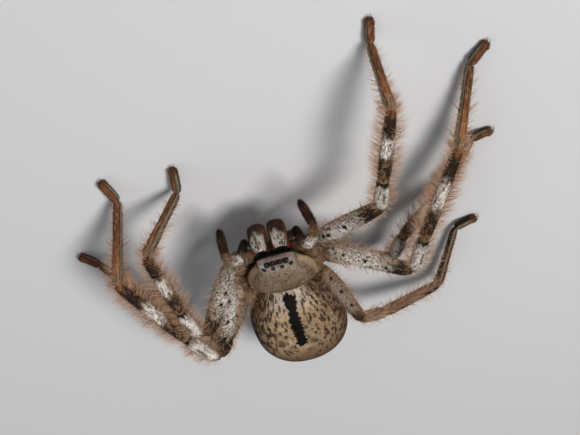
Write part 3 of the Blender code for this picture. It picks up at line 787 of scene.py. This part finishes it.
def make_fringe(name, limb, rng):
    """Long fine standing hairs, thickest along the shins."""
    pieces = []
    for index, segment in enumerate(SEGMENTS):
        if segment not in FRINGE_AMOUNT:
            continue
        begin = limb.marks[index]
        reach = limb.marks[index + 1] - begin
        count = int(FRINGE_PER_MM * reach * FRINGE_AMOUNT[segment])
        along = rng.uniform(0.02, 0.99, count)
        if segment == "metatarsus":
            along = along**2.6
        length = begin + along * reach
        # Most stand on the two flanks, and a few on top.
        turn = rng.choice((-0.26, 0.26), count) + rng.normal(0, 0.075, count)
        spare = rng.random(count) < 0.12
        turn = np.where(spare, rng.uniform(-0.5, 0.5, count), turn)
        roots, out, ahead, uv = limb.rooted(length, turn)
        lean = np.radians(rng.uniform(-6, 34, count))[:, None]
        ways = unit(out * np.cos(lean) + ahead * np.sin(lean) + rng.normal(0, 0.09, (count, 3)))
        low, high = FRINGE_LENGTH[segment]
        size = rng.uniform(low, high, count) * (1.0 - 0.3 * np.abs(along - 0.5)) * PAIR_SCALE[name[-1]]
        if segment == "metatarsus":
            size = size * (1.0 - 0.45 * along)
        droop = ahead * (size * rng.uniform(0.1, 0.45, count))[:, None]
        tint = COLOUR["fringe"] * rng.uniform(0.8, 1.7, count)[:, None]
        pieces.append((roots - out * 0.05, ways, size, rng.uniform(0.06, 0.1, count), tint, uv, droop))
    joined = [np.concatenate([piece[k] for piece in pieces]) for k in range(7)]
    fringe = tufts("fringe_" + name, *joined[:6], droop=joined[6], parts=2, tip_tint=joined[4] * 1.15)
    wear(fringe, FUR)


SPINES = {
    "femur": ((0.24, 34), (0.47, 30), (0.74, 24)),
    "patella": ((0.50, 0),),
    "tibia": ((0.25, 118), (0.25, -118), (0.62, 112), (0.62, -112), (0.45, 60)),
    "metatarsus": ((0.12, 115), (0.12, -115), (0.45, 108), (0.45, -108)),
}
SPINE_WIDTH = 0.19
SPINE_LENGTH = {"femur": 2.0, "patella": 1.6, "tibia": 3.0, "metatarsus": 2.8}


def make_spines(name, limb, scale):
    """Strong dark spines at set places on each segment."""
    hand = hand_of(name)
    rows = []
    for index, segment in enumerate(SEGMENTS):
        for share, degrees in SPINES.get(segment, ()):
            length = np.array([limb.marks[index] + share * (limb.marks[index + 1] - limb.marks[index])])
            turn = np.array([hand * degrees / 360])
            root, out, ahead, place = limb.rooted(length, turn)
            rows.append((root - out * 0.1, unit(out * 0.8 + ahead * 0.6), [SPINE_LENGTH[segment] * scale],
                         place, ahead * 0.5))
    roots, ways, sizes, uv, bends = (np.concatenate([row[k] for row in rows]) for k in range(5))
    count = len(roots)
    dark, rust = (np.tile(COLOUR[tone], (count, 1)) for tone in ("dark", "rust"))
    widths = np.full(count, SPINE_WIDTH)
    spines = tufts("spines_" + name, roots, ways, sizes, widths, dark, uv, bends, 2, rust)
    for polygon in spines.data.polygons:
        polygon.use_smooth = True
    wear(spines, HORN)


PAD_HAIRS = 460


def make_claws(name, limb, scale):
    """Two dark hooked claws and a pad of bright hairs at the end of a foot."""
    tip = limb.centre[-1]
    ahead = limb.ahead[-1]
    flat = unit(np.array((ahead[0], ahead[1], 0.0)))
    side = unit(np.cross(flat, (0.0, 0.0, 1.0)))
    parts = []
    for hand in (-1, 1):
        base = tip + side * hand * 0.3 - flat * 0.35 + np.array((0, 0, 0.2))
        middle = base + flat * 0.8 + side * hand * 0.06 + np.array((0, 0, 0.1))
        end = base + flat * 1.3 + side * hand * 0.1
        end[2] = 0.12
        claw = Limb((base, middle, end), (0.0, 0.5),
                    lambda limb, length: 0.16 * (1 - length / limb.total) + 0.02)
        parts.append(tube_mesh(claw.surface, plain("dark"), *GRID["claw"]))
    wear(new_mesh("claws_" + name, *merge(parts)), HORN)
    rng = np.random.default_rng(RANDOM_SEED + len(name))
    count = PAD_HAIRS
    lengths = limb.total - rng.uniform(0.0, 1.3, count) ** 1.3
    turn = rng.uniform(0, 1, count)
    roots, out, _, uv = limb.rooted(lengths, turn)
    ways = unit(flat + out * 0.65 + rng.normal(0, 0.2, (count, 3)))
    tint = mix(np.tile(COLOUR["brown"], (count, 1)), COLOUR["orange"], rng.random(count))
    pad = tufts("pad_" + name, roots, ways, rng.uniform(0.35, 0.7, count), np.full(count, 0.08), tint, uv)
    wear(pad, FUR)


# Palps

# Colours along a palp. The black and dark brown at its base are painted shade; the other bands are the palp's
# own colours.
PALP_BANDS_AND_BASE_SHADE = ((0.0, "black"), (0.18, "dark"), (0.30, "brown"), (0.37, "tan"), (0.42, "white"), (0.50, "white"),
             (0.54, "tan"), (0.60, "tan"), (0.67, "brown"), (0.72, "dark"), (0.85, "dark"), (1.0, "black"))
PALP_TIP = ((0.0, 0.8), (0.2, 1.0), (0.7, 0.95), (0.92, 0.7), (1.0, 0.3))


def palp_colour(limb, hand):
    """The colour function of a palp: a base painted black and dark brown as shade, a dark tip, a pale elbow,
    specks and reddish lines.
    """
    def colour(share, turn):
        length = share * limb.total
        around = ((turn + 0.5) % 1 - 0.5) * 6.5
        tint = ramp(PALP_BANDS_AND_BASE_SHADE, share) * grain(around, length, 0.28, 304 + hand)
        distance, own = spots(around / 0.45, length / 0.7, 300 + hand)
        speck = fade(0.40, 0.25, distance) * (own < 0.6) * (share > 0.3) * (share < 0.72)
        distance, own = spots(around / 0.4, length / 3.0, 310 + hand)
        streak = fade(0.35, 0.15, distance) * (own < 0.45) * (share > 0.5)
        return paint(tint, ("dark", speck * 0.9), ("rust", streak * 0.7))

    return colour


def make_palps(skin_parts, rng):
    def radius(limb, length):
        if length < limb.marks[-2]:
            size = np.interp(length, limb.marks[:-1], PALP_RADII)
        else:
            share = (length - limb.marks[-2]) / (limb.marks[-1] - limb.marks[-2])
            size = read_table(PALP_TIP, share)[0]
        return size - SKIN_DEPTH - waist(limb, length, 0.12, 0.25)

    for hand, joints in PALP_JOINTS.items():
        limb = Limb(joints, PALP_BENDS, radius)
        colour = palp_colour(limb, 1 if hand == "left" else 2)
        skin_parts.append(tube_mesh(limb.surface, colour, *GRID["palp"]))
        fur_on("coat_palp_" + hand, "palp", limb.surface, colour, rng)


# Front body

def carapace_surface(share, turn):
    """Share runs from the front to the rear, and turn goes round from the left side over the top."""
    forward = CARAPACE[0][0] - share * CARAPACE_LENGTH
    half_width = CARAPACE_CURVE(share) - SKIN_DEPTH * 0.6
    rim = CARAPACE_CURVE(share, 1)
    crown = CARAPACE_CURVE(share, 2) - SKIN_DEPTH * 0.6
    angle = turn * 2 * math.pi
    across = np.cos(angle)
    rise = np.sin(angle)
    side = half_width * np.sign(across) * np.abs(across) ** 0.86
    top = rim + (crown - rim) * np.maximum(rise, 0) ** 0.9
    # A short groove behind the middle, and shallow furrows that run out from it.
    groove = np.exp(-((side / 0.28) ** 2)) * fade(-3.6, -2.8, forward) * fade(-0.5, -1.3, forward)
    reach = np.hypot(side, forward + 1.9)
    bearing = np.arctan2(side, forward + 1.9)
    furrow = np.cos(bearing * 4.0) ** 16 * fade(1.2, 2.4, reach) * fade(6.8, 4.6, reach)
    top = top - (rise > 0) * (0.2 * groove + 0.07 * furrow)
    bottom = rim - CARAPACE_RIM_DEPTH * np.abs(np.minimum(rise, 0)) ** 0.6
    return at_body(forward, side, np.where(rise >= 0, top, bottom))


def eye_distances(points):
    """For each eye, how far each point of the front body is from its centre, and its radius."""
    for _, forward, side, up, radius in EYES:
        for hand in (-1, 1):
            yield np.sqrt((points @ FORWARD - forward) ** 2 + (points @ LEFT - side * hand) ** 2
                          + (points @ UP - up) ** 2), radius


# Black dots on the carapace: place forward, place to the left, size and stretch across.
CARAPACE_DOTS = ((2.8, 0.6, 0.16, 1), (3.0, -1.1, 0.18, 1), (0.8, -0.6, 0.17, 1), (-0.2, 0.3, 0.15, 1),
                 (3.4, 2.2, 0.12, 1), (1.6, -2.6, 0.1, 1), (-7.0, -0.3, 0.22, 2.0))


def carapace_colour(share, turn):
    """Mottled tan with rays from the groove, a pale rim, black skin round the eyes, and painted shade under
    the edge and above the jaws.
    """
    points = carapace_surface(share, turn) - BODY_CENTRE
    forward, side, up = points @ FORWARD, points @ LEFT, points @ UP
    across = np.abs(side)
    patch = cloud(forward / 2.0 + 40, side / 2.0 + 40, 71)
    tint = paint(plain("tan")(share, turn), ("pale", 0.05 + 0.35 * patch),
                 ("pale", fade(1.0, 4.5, forward) * 0.4))
    reach = np.hypot(side, forward + 1.9)
    rays = cloud(np.arctan2(side, forward + 1.9) / 0.05 + 90, reach / 1.6, 73)
    tint = tint * grain(forward + 40, side + 40, 0.3, 72, 0.6, 1.35) * (0.76 + 0.44 * rays)[..., None]
    margin = across / np.maximum(CARAPACE_CURVE(share), 0.1)
    edge = np.clip(fade(0.86, 0.98, margin) + fade(-6.5, -7.3, forward), 0, 1) * (forward < 4.6)
    inside = np.clip(fade(0.62, 0.82, margin) + fade(-4.6, -6.4, forward), 0, 1)
    # A pinkish strip above the jaws, black skin round the front eyes, and pale hair at its two ends. The skin
    # below the rim is painted brown as shade under the carapace's edge, and the strip's lower edge is painted
    # black as the shade in the gap above the jaws.
    strip = fade(5.4, 5.7, forward) * fade(0.25, 0.05, up)
    band = fade(5.25, 5.45, forward) * fade(0.0, 0.16, up) * fade(3.0, 2.7, across)
    face = fade(3.8, 5.4, forward) * fade(4.5, 3.6, across) * (1 - band) * (1 - strip)
    tint = paint(tint, ("brown", inside * (1 - edge) * 0.4), (COLOUR["cream"] * 1.15, edge * 0.8),
                 ("brown", (up < -0.9) * 0.5), ("brow", strip),
                 ("dark", strip * (0.5 + 0.5 * np.sin(up * 19)) * 0.45),
                 ("black", strip * fade(-0.85, -1.1, up)), ("black", band * fade(1.12, 1.0, up)),
                 ("white", face * (0.12 + 0.5 * fade(2.5, 3.1, across))))
    for distance, radius in eye_distances(points):
        tint = mix(tint, COLOUR["black"], fade(radius + 0.26, radius + 0.06, distance))
    for dot_forward, dot_side, size, stretch in CARAPACE_DOTS:
        distance = np.hypot(forward - dot_forward, (side - dot_side) / stretch)
        tint = mix(tint, COLOUR["black"], fade(size + 0.10, size - 0.04, distance) * (up > -0.4))
    return tint


FACE_HAIRS = 1500


def make_carapace(skin_parts, rng):
    skin_parts.append(tube_mesh(carapace_surface, carapace_colour, *crowded(*GRID["carapace"])))
    fur_on("coat_carapace", "carapace", carapace_surface, carapace_colour, rng, spread=0.45,
           turn_range=(-0.03, 0.53), share_range=(0.03, 0.995), weight=away_from_eyes)
    # Longer white hairs stand between and around the eyes.
    forward = rng.uniform(4.7, 6.35, FACE_HAIRS)
    side = rng.uniform(-4.1, 4.1, FACE_HAIRS)
    share = (CARAPACE[0][0] - forward) / CARAPACE_LENGTH
    turn = np.arccos(np.clip(side / CARAPACE_CURVE(share), -0.98, 0.98)) / (2 * math.pi)
    chance = 0.25 + 0.75 * fade(2.2, 3.0, np.abs(side))
    keep = (away_from_eyes(share, turn) > 0.5) & (rng.random(FACE_HAIRS) < chance)
    share, turn = share[keep], turn[keep]
    count = len(share)
    roots = carapace_surface(share, turn)
    ways = unit(UP * 0.9 + FORWARD * 0.7 + rng.normal(0, 0.35, (count, 3)))
    tint = COLOUR["white"] * rng.uniform(0.7, 1.3, count)[:, None]
    wear(tufts("coat_face", roots, ways, rng.uniform(0.25, 0.6, count), np.full(count, 0.07), tint,
               coat_uv(share, turn)), FUR)


def away_from_eyes(share, turn):
    """1 where the carapace has hair, and 0 on the bare skin at the eyes."""
    points = carapace_surface(share, turn) - BODY_CENTRE
    return np.prod([distance > radius + 0.12 for distance, radius in eye_distances(points)], axis=0) * 1.0


def make_underside(skin_parts, rng):
    """The breast plate, the lip and the two mouth plates."""
    sternum = curve(STERNUM)
    lip_curve = curve(LIP)
    mouth_size = curve(((0.0, 1.1), (0.6, 1.2), (1.0, 0.8)))

    def plate(share, turn):
        angle = turn * 2 * math.pi
        wide = sternum(share, 1) - SKIN_DEPTH
        deep = sternum(share, 2) - SKIN_DEPTH
        return at_body(sternum(share), wide * np.cos(angle), STERNUM_UP + deep * np.sin(angle))

    def lip(share, turn):
        angle = turn * 2 * math.pi
        return at_body(lip_curve(share), lip_curve(share, 1) * np.cos(angle),
                       LIP_UP + (LIP_DEPTH - SKIN_DEPTH) * np.sin(angle))

    def colour(share, turn):
        return paint(plain("brown")(share, turn), ("dark", cloud(share * 9, turn * 12, 81) * 0.7))

    skin_parts.append(tube_mesh(plate, colour, *GRID["sternum"]))
    fur_on("coat_sternum", "sternum", plate, colour, rng, turn_range=(0.5, 1.0))
    for hand in (-1, 1):
        joints = [at_body(forward, hand * side, up) for forward, side, up in MOUTH_PLATE]
        mouth = Limb(joints, (0.0, 2.0), lambda limb, length: mouth_size(length / limb.total) - SKIN_DEPTH)
        skin_parts.append(tube_mesh(mouth.surface, colour, *GRID["mouth"]))
    skin_parts.append(tube_mesh(lip, colour, *GRID["lip"]))


def make_jaws(rng):
    """The two jaws: white and speckled above, reddish brown below, painted black at the base as shade, with a
    fang each.
    """
    jaw_curve = curve([(index / (len(CHELICERA) - 1), *row) for index, row in enumerate(CHELICERA)])
    for name, hand in (("left", 1), ("right", -1)):
        def jaw(share, turn, hand=hand):
            angle = turn * 2 * math.pi
            forward, up, side, wide, deep = (jaw_curve(share, k) for k in range(5))
            return at_body(forward + (deep - SKIN_DEPTH) * np.sin(angle),
                           JAW_SWING + hand * side + (wide - SKIN_DEPTH) * np.cos(angle), up)

        def colour(share, turn, hand=hand):
            angle = turn * 2 * math.pi
            outward = hand * np.cos(angle)
            around = turn * 13
            down = share * 6.5
            lines = cloud(around / 0.28, down / 1.6, 90 + hand)
            wedge = fade(0.35, 0.75, -outward) * fade(0.2, 0.35, share) * fade(0.75, 0.6, share)
            rim = np.maximum(fade(0.80, 0.95, outward), wedge)
            ragged = share + (cloud(around / 0.7, down / 3.0, 96 + hand) - 0.5) * 0.30
            white = fade(0.50, 0.40, ragged) * fade(0.86, 0.70, np.abs(outward - 0.05))
            white = white * fade(-0.1, 0.2, np.sin(angle))
            coat = paint(plain("white")(share, turn), ("grey", cloud(around, down / 1.4, 91 + hand)))
            distance, own = spots(around / 0.6, down / 0.75, 93 + hand)
            tint = paint(plain("dark")(share, turn), ("rust", fade(0.5, 0.9, lines) * 0.55),
                         ("red", fade(0.55, 0.85, share) * 0.8), ("rust", rim * (0.2 + 0.45 * lines)),
                         (coat, white), ("black", fade(0.42, 0.26, distance) * (own < 0.6) * white))
            tint = tint * grain(around, down, 0.25, 98 + hand, 0.75, 1.3)
            corner = fade(0.88, 0.96, outward) * fade(0.13, 0.10, share) * fade(0.02, 0.04, share)
            # The black at the jaw's base is painted shade, for the gap under the carapace's front edge; the
            # scarlet corner is the jaw's own colour.
            return paint(tint, ("black", fade(0.03, 0.015, share)), ("scarlet", corner))

        skin = tube_mesh(jaw, colour, *GRID["jaw"])
        wear(new_mesh("jaw_" + name, *skin), JAW, ("chelicera_" + name,))
        fur_on("coat_jaw_" + name, "jaw", jaw, colour, rng, share_range=(0.03, 0.95),
               spread=0.22)
        joints = [at_body(forward, JAW_SWING + hand * side, up) for forward, side, up in FANG]
        fang = Limb(joints, (0.0, 1.0), lambda limb, length: 0.6 - 0.5 * (length / limb.total) ** 1.4)
        skin = tube_mesh(fang.surface, plain("black"), *GRID["fang"])
        wear(new_mesh("fang_piece_" + name, *skin), HORN, ("fang_" + name,))


def make_eyes():
    """Eight glossy black balls."""
    for name, forward, side, up, radius in EYES:
        for hand, sign in (("left", 1), ("right", -1)):
            centre = at_body(forward, side * sign, up)

            def lens(share, turn, centre=centre, radius=radius):
                polar = share * math.pi
                around = turn * 2 * math.pi
                return centre + radius * np.stack([np.sin(polar) * np.cos(around),
                                                   np.sin(polar) * np.sin(around), np.cos(polar)], -1)

            tail = name + "_" + hand
            rings, sides = GRID["eye"]
            ball = tube_mesh(lens, plain("black"), np.linspace(0.02, 0.98, rings), sides)
            wear(new_mesh("lens_" + tail, *ball), EYE, ("eye_" + tail,))


# Abdomen

def abdomen_surface(share, turn):
    """Share runs from the front to the rear, and turn goes round from the left side over the top."""
    half_width = ABDOMEN_CURVE(share) - SKIN_DEPTH
    top = ABDOMEN_CURVE(share, 1) - SKIN_DEPTH
    bottom = ABDOMEN_CURVE(share, 2) + SKIN_DEPTH * 0.5
    along = ABDOMEN_FRONT_Y + share * (ABDOMEN_REAR_Y - ABDOMEN_FRONT_Y)
    angle = turn * 2 * math.pi
    wave = 1 + 0.012 * (cloud(share * 7, np.abs((turn - 0.25 + 0.5) % 1 - 0.5) * 14, 55) - 0.5)
    height = np.maximum((top - bottom) / 2, 0.2)
    points = np.stack([ABDOMEN_SIDE + half_width * np.cos(angle) * wave, along,
                       (top + bottom) / 2 + height * np.sin(angle) * wave], -1)
    points[..., 2] = np.maximum(points[..., 2], SKIN_GAP)
    return points


# The dark stripe's half width at each place along the abdomen.
STRIPE = ((9.9, 1.2), (11.0, 1.5), (13.0, 1.0), (15.8, 1.4), (19.0, 1.25), (21.4, 1.4), (22.3, 1.15))
# Faint marks: side, place along and size.
ABDOMEN_BLOTS = ((4.6, 21.2, 0.9), (-2.6, 22.0, 0.75), (2.4, 22.6, 0.6), (-1.2, 24.4, 0.6), (6.0, 18.4, 0.6))


def abdomen_colour(share, turn):
    """Cream and tan with brown flecks, a darker rear, flanks and low parts painted brown as shade, and a black
    stripe along the top.
    """
    points = abdomen_surface(share, turn)
    side = points[..., 0] - ABDOMEN_SIDE
    along = points[..., 1]
    height = points[..., 2]
    from_top = (turn - 0.25 + 0.5) % 1 - 0.5
    lateral = np.abs(from_top) * 2 * math.pi * 10.0
    hand = (from_top > 0) * 17
    rear = fade(22.5, 29.0, along)
    # Painted shade: the flanks are darkened with brown. The tan patches, the rosy rear and the paler front are
    # the abdomen's own colours.
    tint = paint(plain("cream")(share, turn), ("tan", cloud(along / 3.2 + 9, side / 3.2 + 30, 51) * 0.7),
                 (COLOUR["brown"] * 1.3, fade(6.0, 13.0, lateral) * 0.8), ("rosy", rear * 0.85),
                 ("white", fade(15.0, 9.5, along) * fade(10.0, 4.0, lateral) * 0.6))
    tint = tint * grain(along + 9, side + 30, 0.3, 52, 0.66, 1.3)
    # Short brown flecks run along the body in curved rows, and longer dark lines along its flanks.
    thick = 0.45 + 0.9 * cloud(along / 3.5 + 4, lateral / 3.0 + hand, 58)
    distance, own = spots(lateral / 1.0 + hand, along / 1.75, 57)
    amount = 0.80 * fade(0.8, 3.2, lateral) * (1 - 0.75 * rear) * fade(8.0, 10.5, along) * thick
    large = fade(0.42, 0.28, distance) * (own < amount) * (0.75 + 0.25 * own)
    distance, own = spots(lateral / 0.6 + 3 + hand, along / 1.1, 61)
    small = fade(0.38, 0.22, distance) * (own < 0.22 * fade(0.5, 3.0, lateral) * thick * (1 - 0.5 * rear))
    distance, own = spots(lateral / 0.95 + 7 + hand, along / 3.4, 65)
    line = fade(0.36, 0.24, distance) * (own < 0.75 * fade(4.5, 7.5, lateral)) * (1 - 0.6 * rear)
    tint = paint(tint, (COLOUR["dark"] * 1.2, large), ("dark", small * 0.75), ("dark", line * 0.8))
    for blot_side, blot_along, size in ABDOMEN_BLOTS:
        distance = np.hypot((side - blot_side) / 1.3, along - blot_along)
        blot = fade(size + 0.35, size - 0.3, distance + (cloud(along / 0.4, side / 0.4, 66) - 0.5) * 0.6)
        tint = mix(tint, COLOUR["brown"] * 0.7, blot * (height > 9) * 0.7)
    # The dark stripe, with ragged edges.
    places, widths = zip(*STRIPE)
    width = np.interp(along, places, widths) + (cloud(along / 0.36, (side > 0) * 5.0, 63) - 0.5) * 0.75
    ends = along + (cloud(side / 0.4 + 20, (along > 15) * 3.0, 64) - 0.5) * 1.1
    stripe = fade(width + 0.12, width - 0.12, np.abs(side)) * (height > 9)
    stripe = stripe * fade(places[0] - 0.1, places[0] + 0.1, ends)
    stripe = stripe * fade(places[-1] + 0.1, places[-1] - 0.1, ends)
    # Painted shade: brown low down, towards the floor, under the body.
    return paint(tint, (COLOUR["black"] * 1.2, stripe), ("brown", fade(6.0, 2.0, height) * 0.6))


def make_abdomen(skin_parts, rng):
    skin_parts.append(tube_mesh(abdomen_surface, abdomen_colour, *crowded(*GRID["abdomen"])))
    for name, turn_range in (("left", (-0.25, 0.25)), ("right", (0.25, 0.75))):
        fur_on("coat_abdomen_" + name, "abdomen", abdomen_surface, abdomen_colour, rng,
               turn_range=turn_range, share_range=(0.01, 0.995), spread=0.3)
        fur_on("guard_abdomen_" + name, "guard", abdomen_surface, abdomen_colour, rng,
               turn_range=turn_range, share_range=(0.02, 0.995), parts=2, tip=COLOUR["fringe"], droop=0.3)


def make_spinnerets(skin_parts, rng):
    """A short wide root with four hairy pegs."""
    base = np.array(SPINNERET_ROOT)
    small = SPINNERET_ROOT_RADIUS - SKIN_DEPTH
    wide = SPINNERET_ROOT_RADIUS * SPINNERET_ROOT_STRETCH - SKIN_DEPTH

    def colour(share, turn):
        return paint(plain("brown")(share, turn), ("tan", share))

    def root(share, turn):
        polar = (0.02 + 0.96 * share) * math.pi
        angle = turn * 2 * math.pi
        return base + np.stack([wide * np.sin(polar) * np.cos(angle), -small * np.cos(polar),
                                small * np.sin(polar) * np.sin(angle)], -1)

    skin_parts.append(tube_mesh(root, colour, *GRID["spinneret_root"]))
    for hand in (-1, 1):
        for spread, rise, slope, length in SPINNERETS:
            start = base + np.array((hand * spread, -0.1, rise))
            way = unit(np.array((hand * 0.22, 1.0, slope)))
            peg = Limb((start, start + way * length * 0.5, start + way * length), (0.0, 0.1),
                       lambda limb, at: 0.46 - 0.2 * at / limb.total if at < limb.total * 0.94 else 0.16)
            skin_parts.append(tube_mesh(peg.surface, colour, *GRID["spinneret"]))
            fur_on("coat_spinneret_%d_%d" % (hand + 1, rise > 0), "spinneret", peg.surface,
                   colour, rng)


# Setting

def place_in_scene(name, data):
    """A new object for some data, linked to the scene."""
    made = bpy.data.objects.new(name, data)
    bpy.context.scene.collection.objects.link(made)
    return made


FLOOR_REACH = 1.2
FLOOR_COLOUR = (0.62, 0.62, 0.63, 1.0)


def make_floor():
    mesh = bpy.data.meshes.new("floor")
    corners = [(x * FLOOR_REACH, y * FLOOR_REACH, 0) for x, y in ((-1, -1), (1, -1), (1, 1), (-1, 1))]
    mesh.from_pydata(corners, [], [(0, 1, 2, 3)])
    floor = place_in_scene("floor", mesh)
    material = bpy.data.materials.new("floor")
    material.use_nodes = True
    shader = material.node_tree.nodes["Principled BSDF"]
    shader.inputs["Base Color"].default_value = FLOOR_COLOUR
    shader.inputs["Roughness"].default_value = 0.8
    mesh.materials.append(material)


# Each light's place in metres, size, power in watts and colour.
LIGHTS = {
    "key": ((-0.25, -0.15, 0.55), 0.22, 3.4, (1.0, 0.98, 0.95)),
    "fill": ((0.45, 0.10, 0.35), 0.45, 0.7, (0.93, 0.96, 1.0)),
    "front": ((0.05, -0.55, 0.25), 0.35, 0.5, (1.0, 1.0, 1.0)),
}
LIGHT_TARGET = (0, 0, 0.01)
SKY_COLOUR = (0.9, 0.93, 1.0, 1.0)
SKY_STRENGTH = 0.10


def make_lights():
    for name, (place, size, power, colour) in LIGHTS.items():
        data = bpy.data.lights.new(name, "AREA")
        data.size = size
        data.energy = power
        data.color = colour
        light = place_in_scene(name, data)
        light.location = place
        light.rotation_euler = (Vector(LIGHT_TARGET) - Vector(place)).to_track_quat("-Z", "Y").to_euler()
    world = bpy.data.worlds.new("studio")
    world.use_nodes = True
    sky = world.node_tree.nodes["Background"]
    sky.inputs["Color"].default_value = SKY_COLOUR
    sky.inputs["Strength"].default_value = SKY_STRENGTH
    bpy.context.scene.world = world
    bpy.context.scene.view_settings.view_transform = "Standard"


def make_camera():
    """The camera, turned about its own line of sight as the photograph is."""
    east = math.sin(CAMERA_AZIMUTH) * math.cos(CAMERA_ELEVATION)
    north = -math.cos(CAMERA_AZIMUTH) * math.cos(CAMERA_ELEVATION)
    back = np.array((east, north, math.sin(CAMERA_ELEVATION)))
    right = unit(np.cross(-back, (0.0, 0.0, 1.0)))
    up = np.cross(right, -back)
    rolled_right = math.cos(CAMERA_ROLL) * right + math.sin(CAMERA_ROLL) * up
    rolled_up = -math.sin(CAMERA_ROLL) * right + math.cos(CAMERA_ROLL) * up
    place = (CAMERA_TARGET + SHIFT + back * CAMERA_DISTANCE) * MM
    data = bpy.data.cameras.new("camera")
    data.lens = CAMERA_LENS
    data.sensor_width = SENSOR_WIDTH
    data.clip_start = 0.01
    camera = place_in_scene("camera", data)
    camera.matrix_world = Matrix.Translation(place) @ Matrix(
        [[rolled_right[k], rolled_up[k], back[k]] for k in range(3)]).to_4x4()
    bpy.context.scene.camera = camera


FLESH = ["carapace", "sternum", "abdomen", "spinnerets"]
FLESH += ["palp_%s_%s" % (hand, part) for hand in PALP_JOINTS for part in ("arm", "tarsus")]
FLESH += ["leg_%s_%s" % (leg, segment) for leg in LEG_JOINTS for segment in SEGMENTS[1:]]

CARAPACE_LENGTH = CARAPACE[0][0] - CARAPACE[-1][0]
CARAPACE_CURVE = curve([((CARAPACE[0][0] - forward) / CARAPACE_LENGTH, *sizes)
                        for forward, *sizes in CARAPACE])
ABDOMEN_CURVE = curve(ABDOMEN)

SKIN = coat_material("skin", 0.62, 0.5, 0.15, 2600)
FUR = coat_material("fur", 0.6, 0.0, 0.12, 1400)
JAW = coat_material("jaw", 0.42, 0.4, 0.3, 2200)
HORN = coat_material("horn", 0.25, 0.1, 0.4, 1500)
EYE = coat_material("eye", 0.14, 0.0, 0.5, 900)

rng = np.random.default_rng(RANDOM_SEED)
skin_parts = []
make_carapace(skin_parts, rng)
make_abdomen(skin_parts, rng)
make_underside(skin_parts, rng)
make_spinnerets(skin_parts, rng)
make_palps(skin_parts, rng)
make_legs(skin_parts, rng)
wear(new_mesh("skin", *merge(skin_parts)), SKIN, FLESH)
make_jaws(rng)
make_eyes()
make_floor()
make_lights()
make_camera()
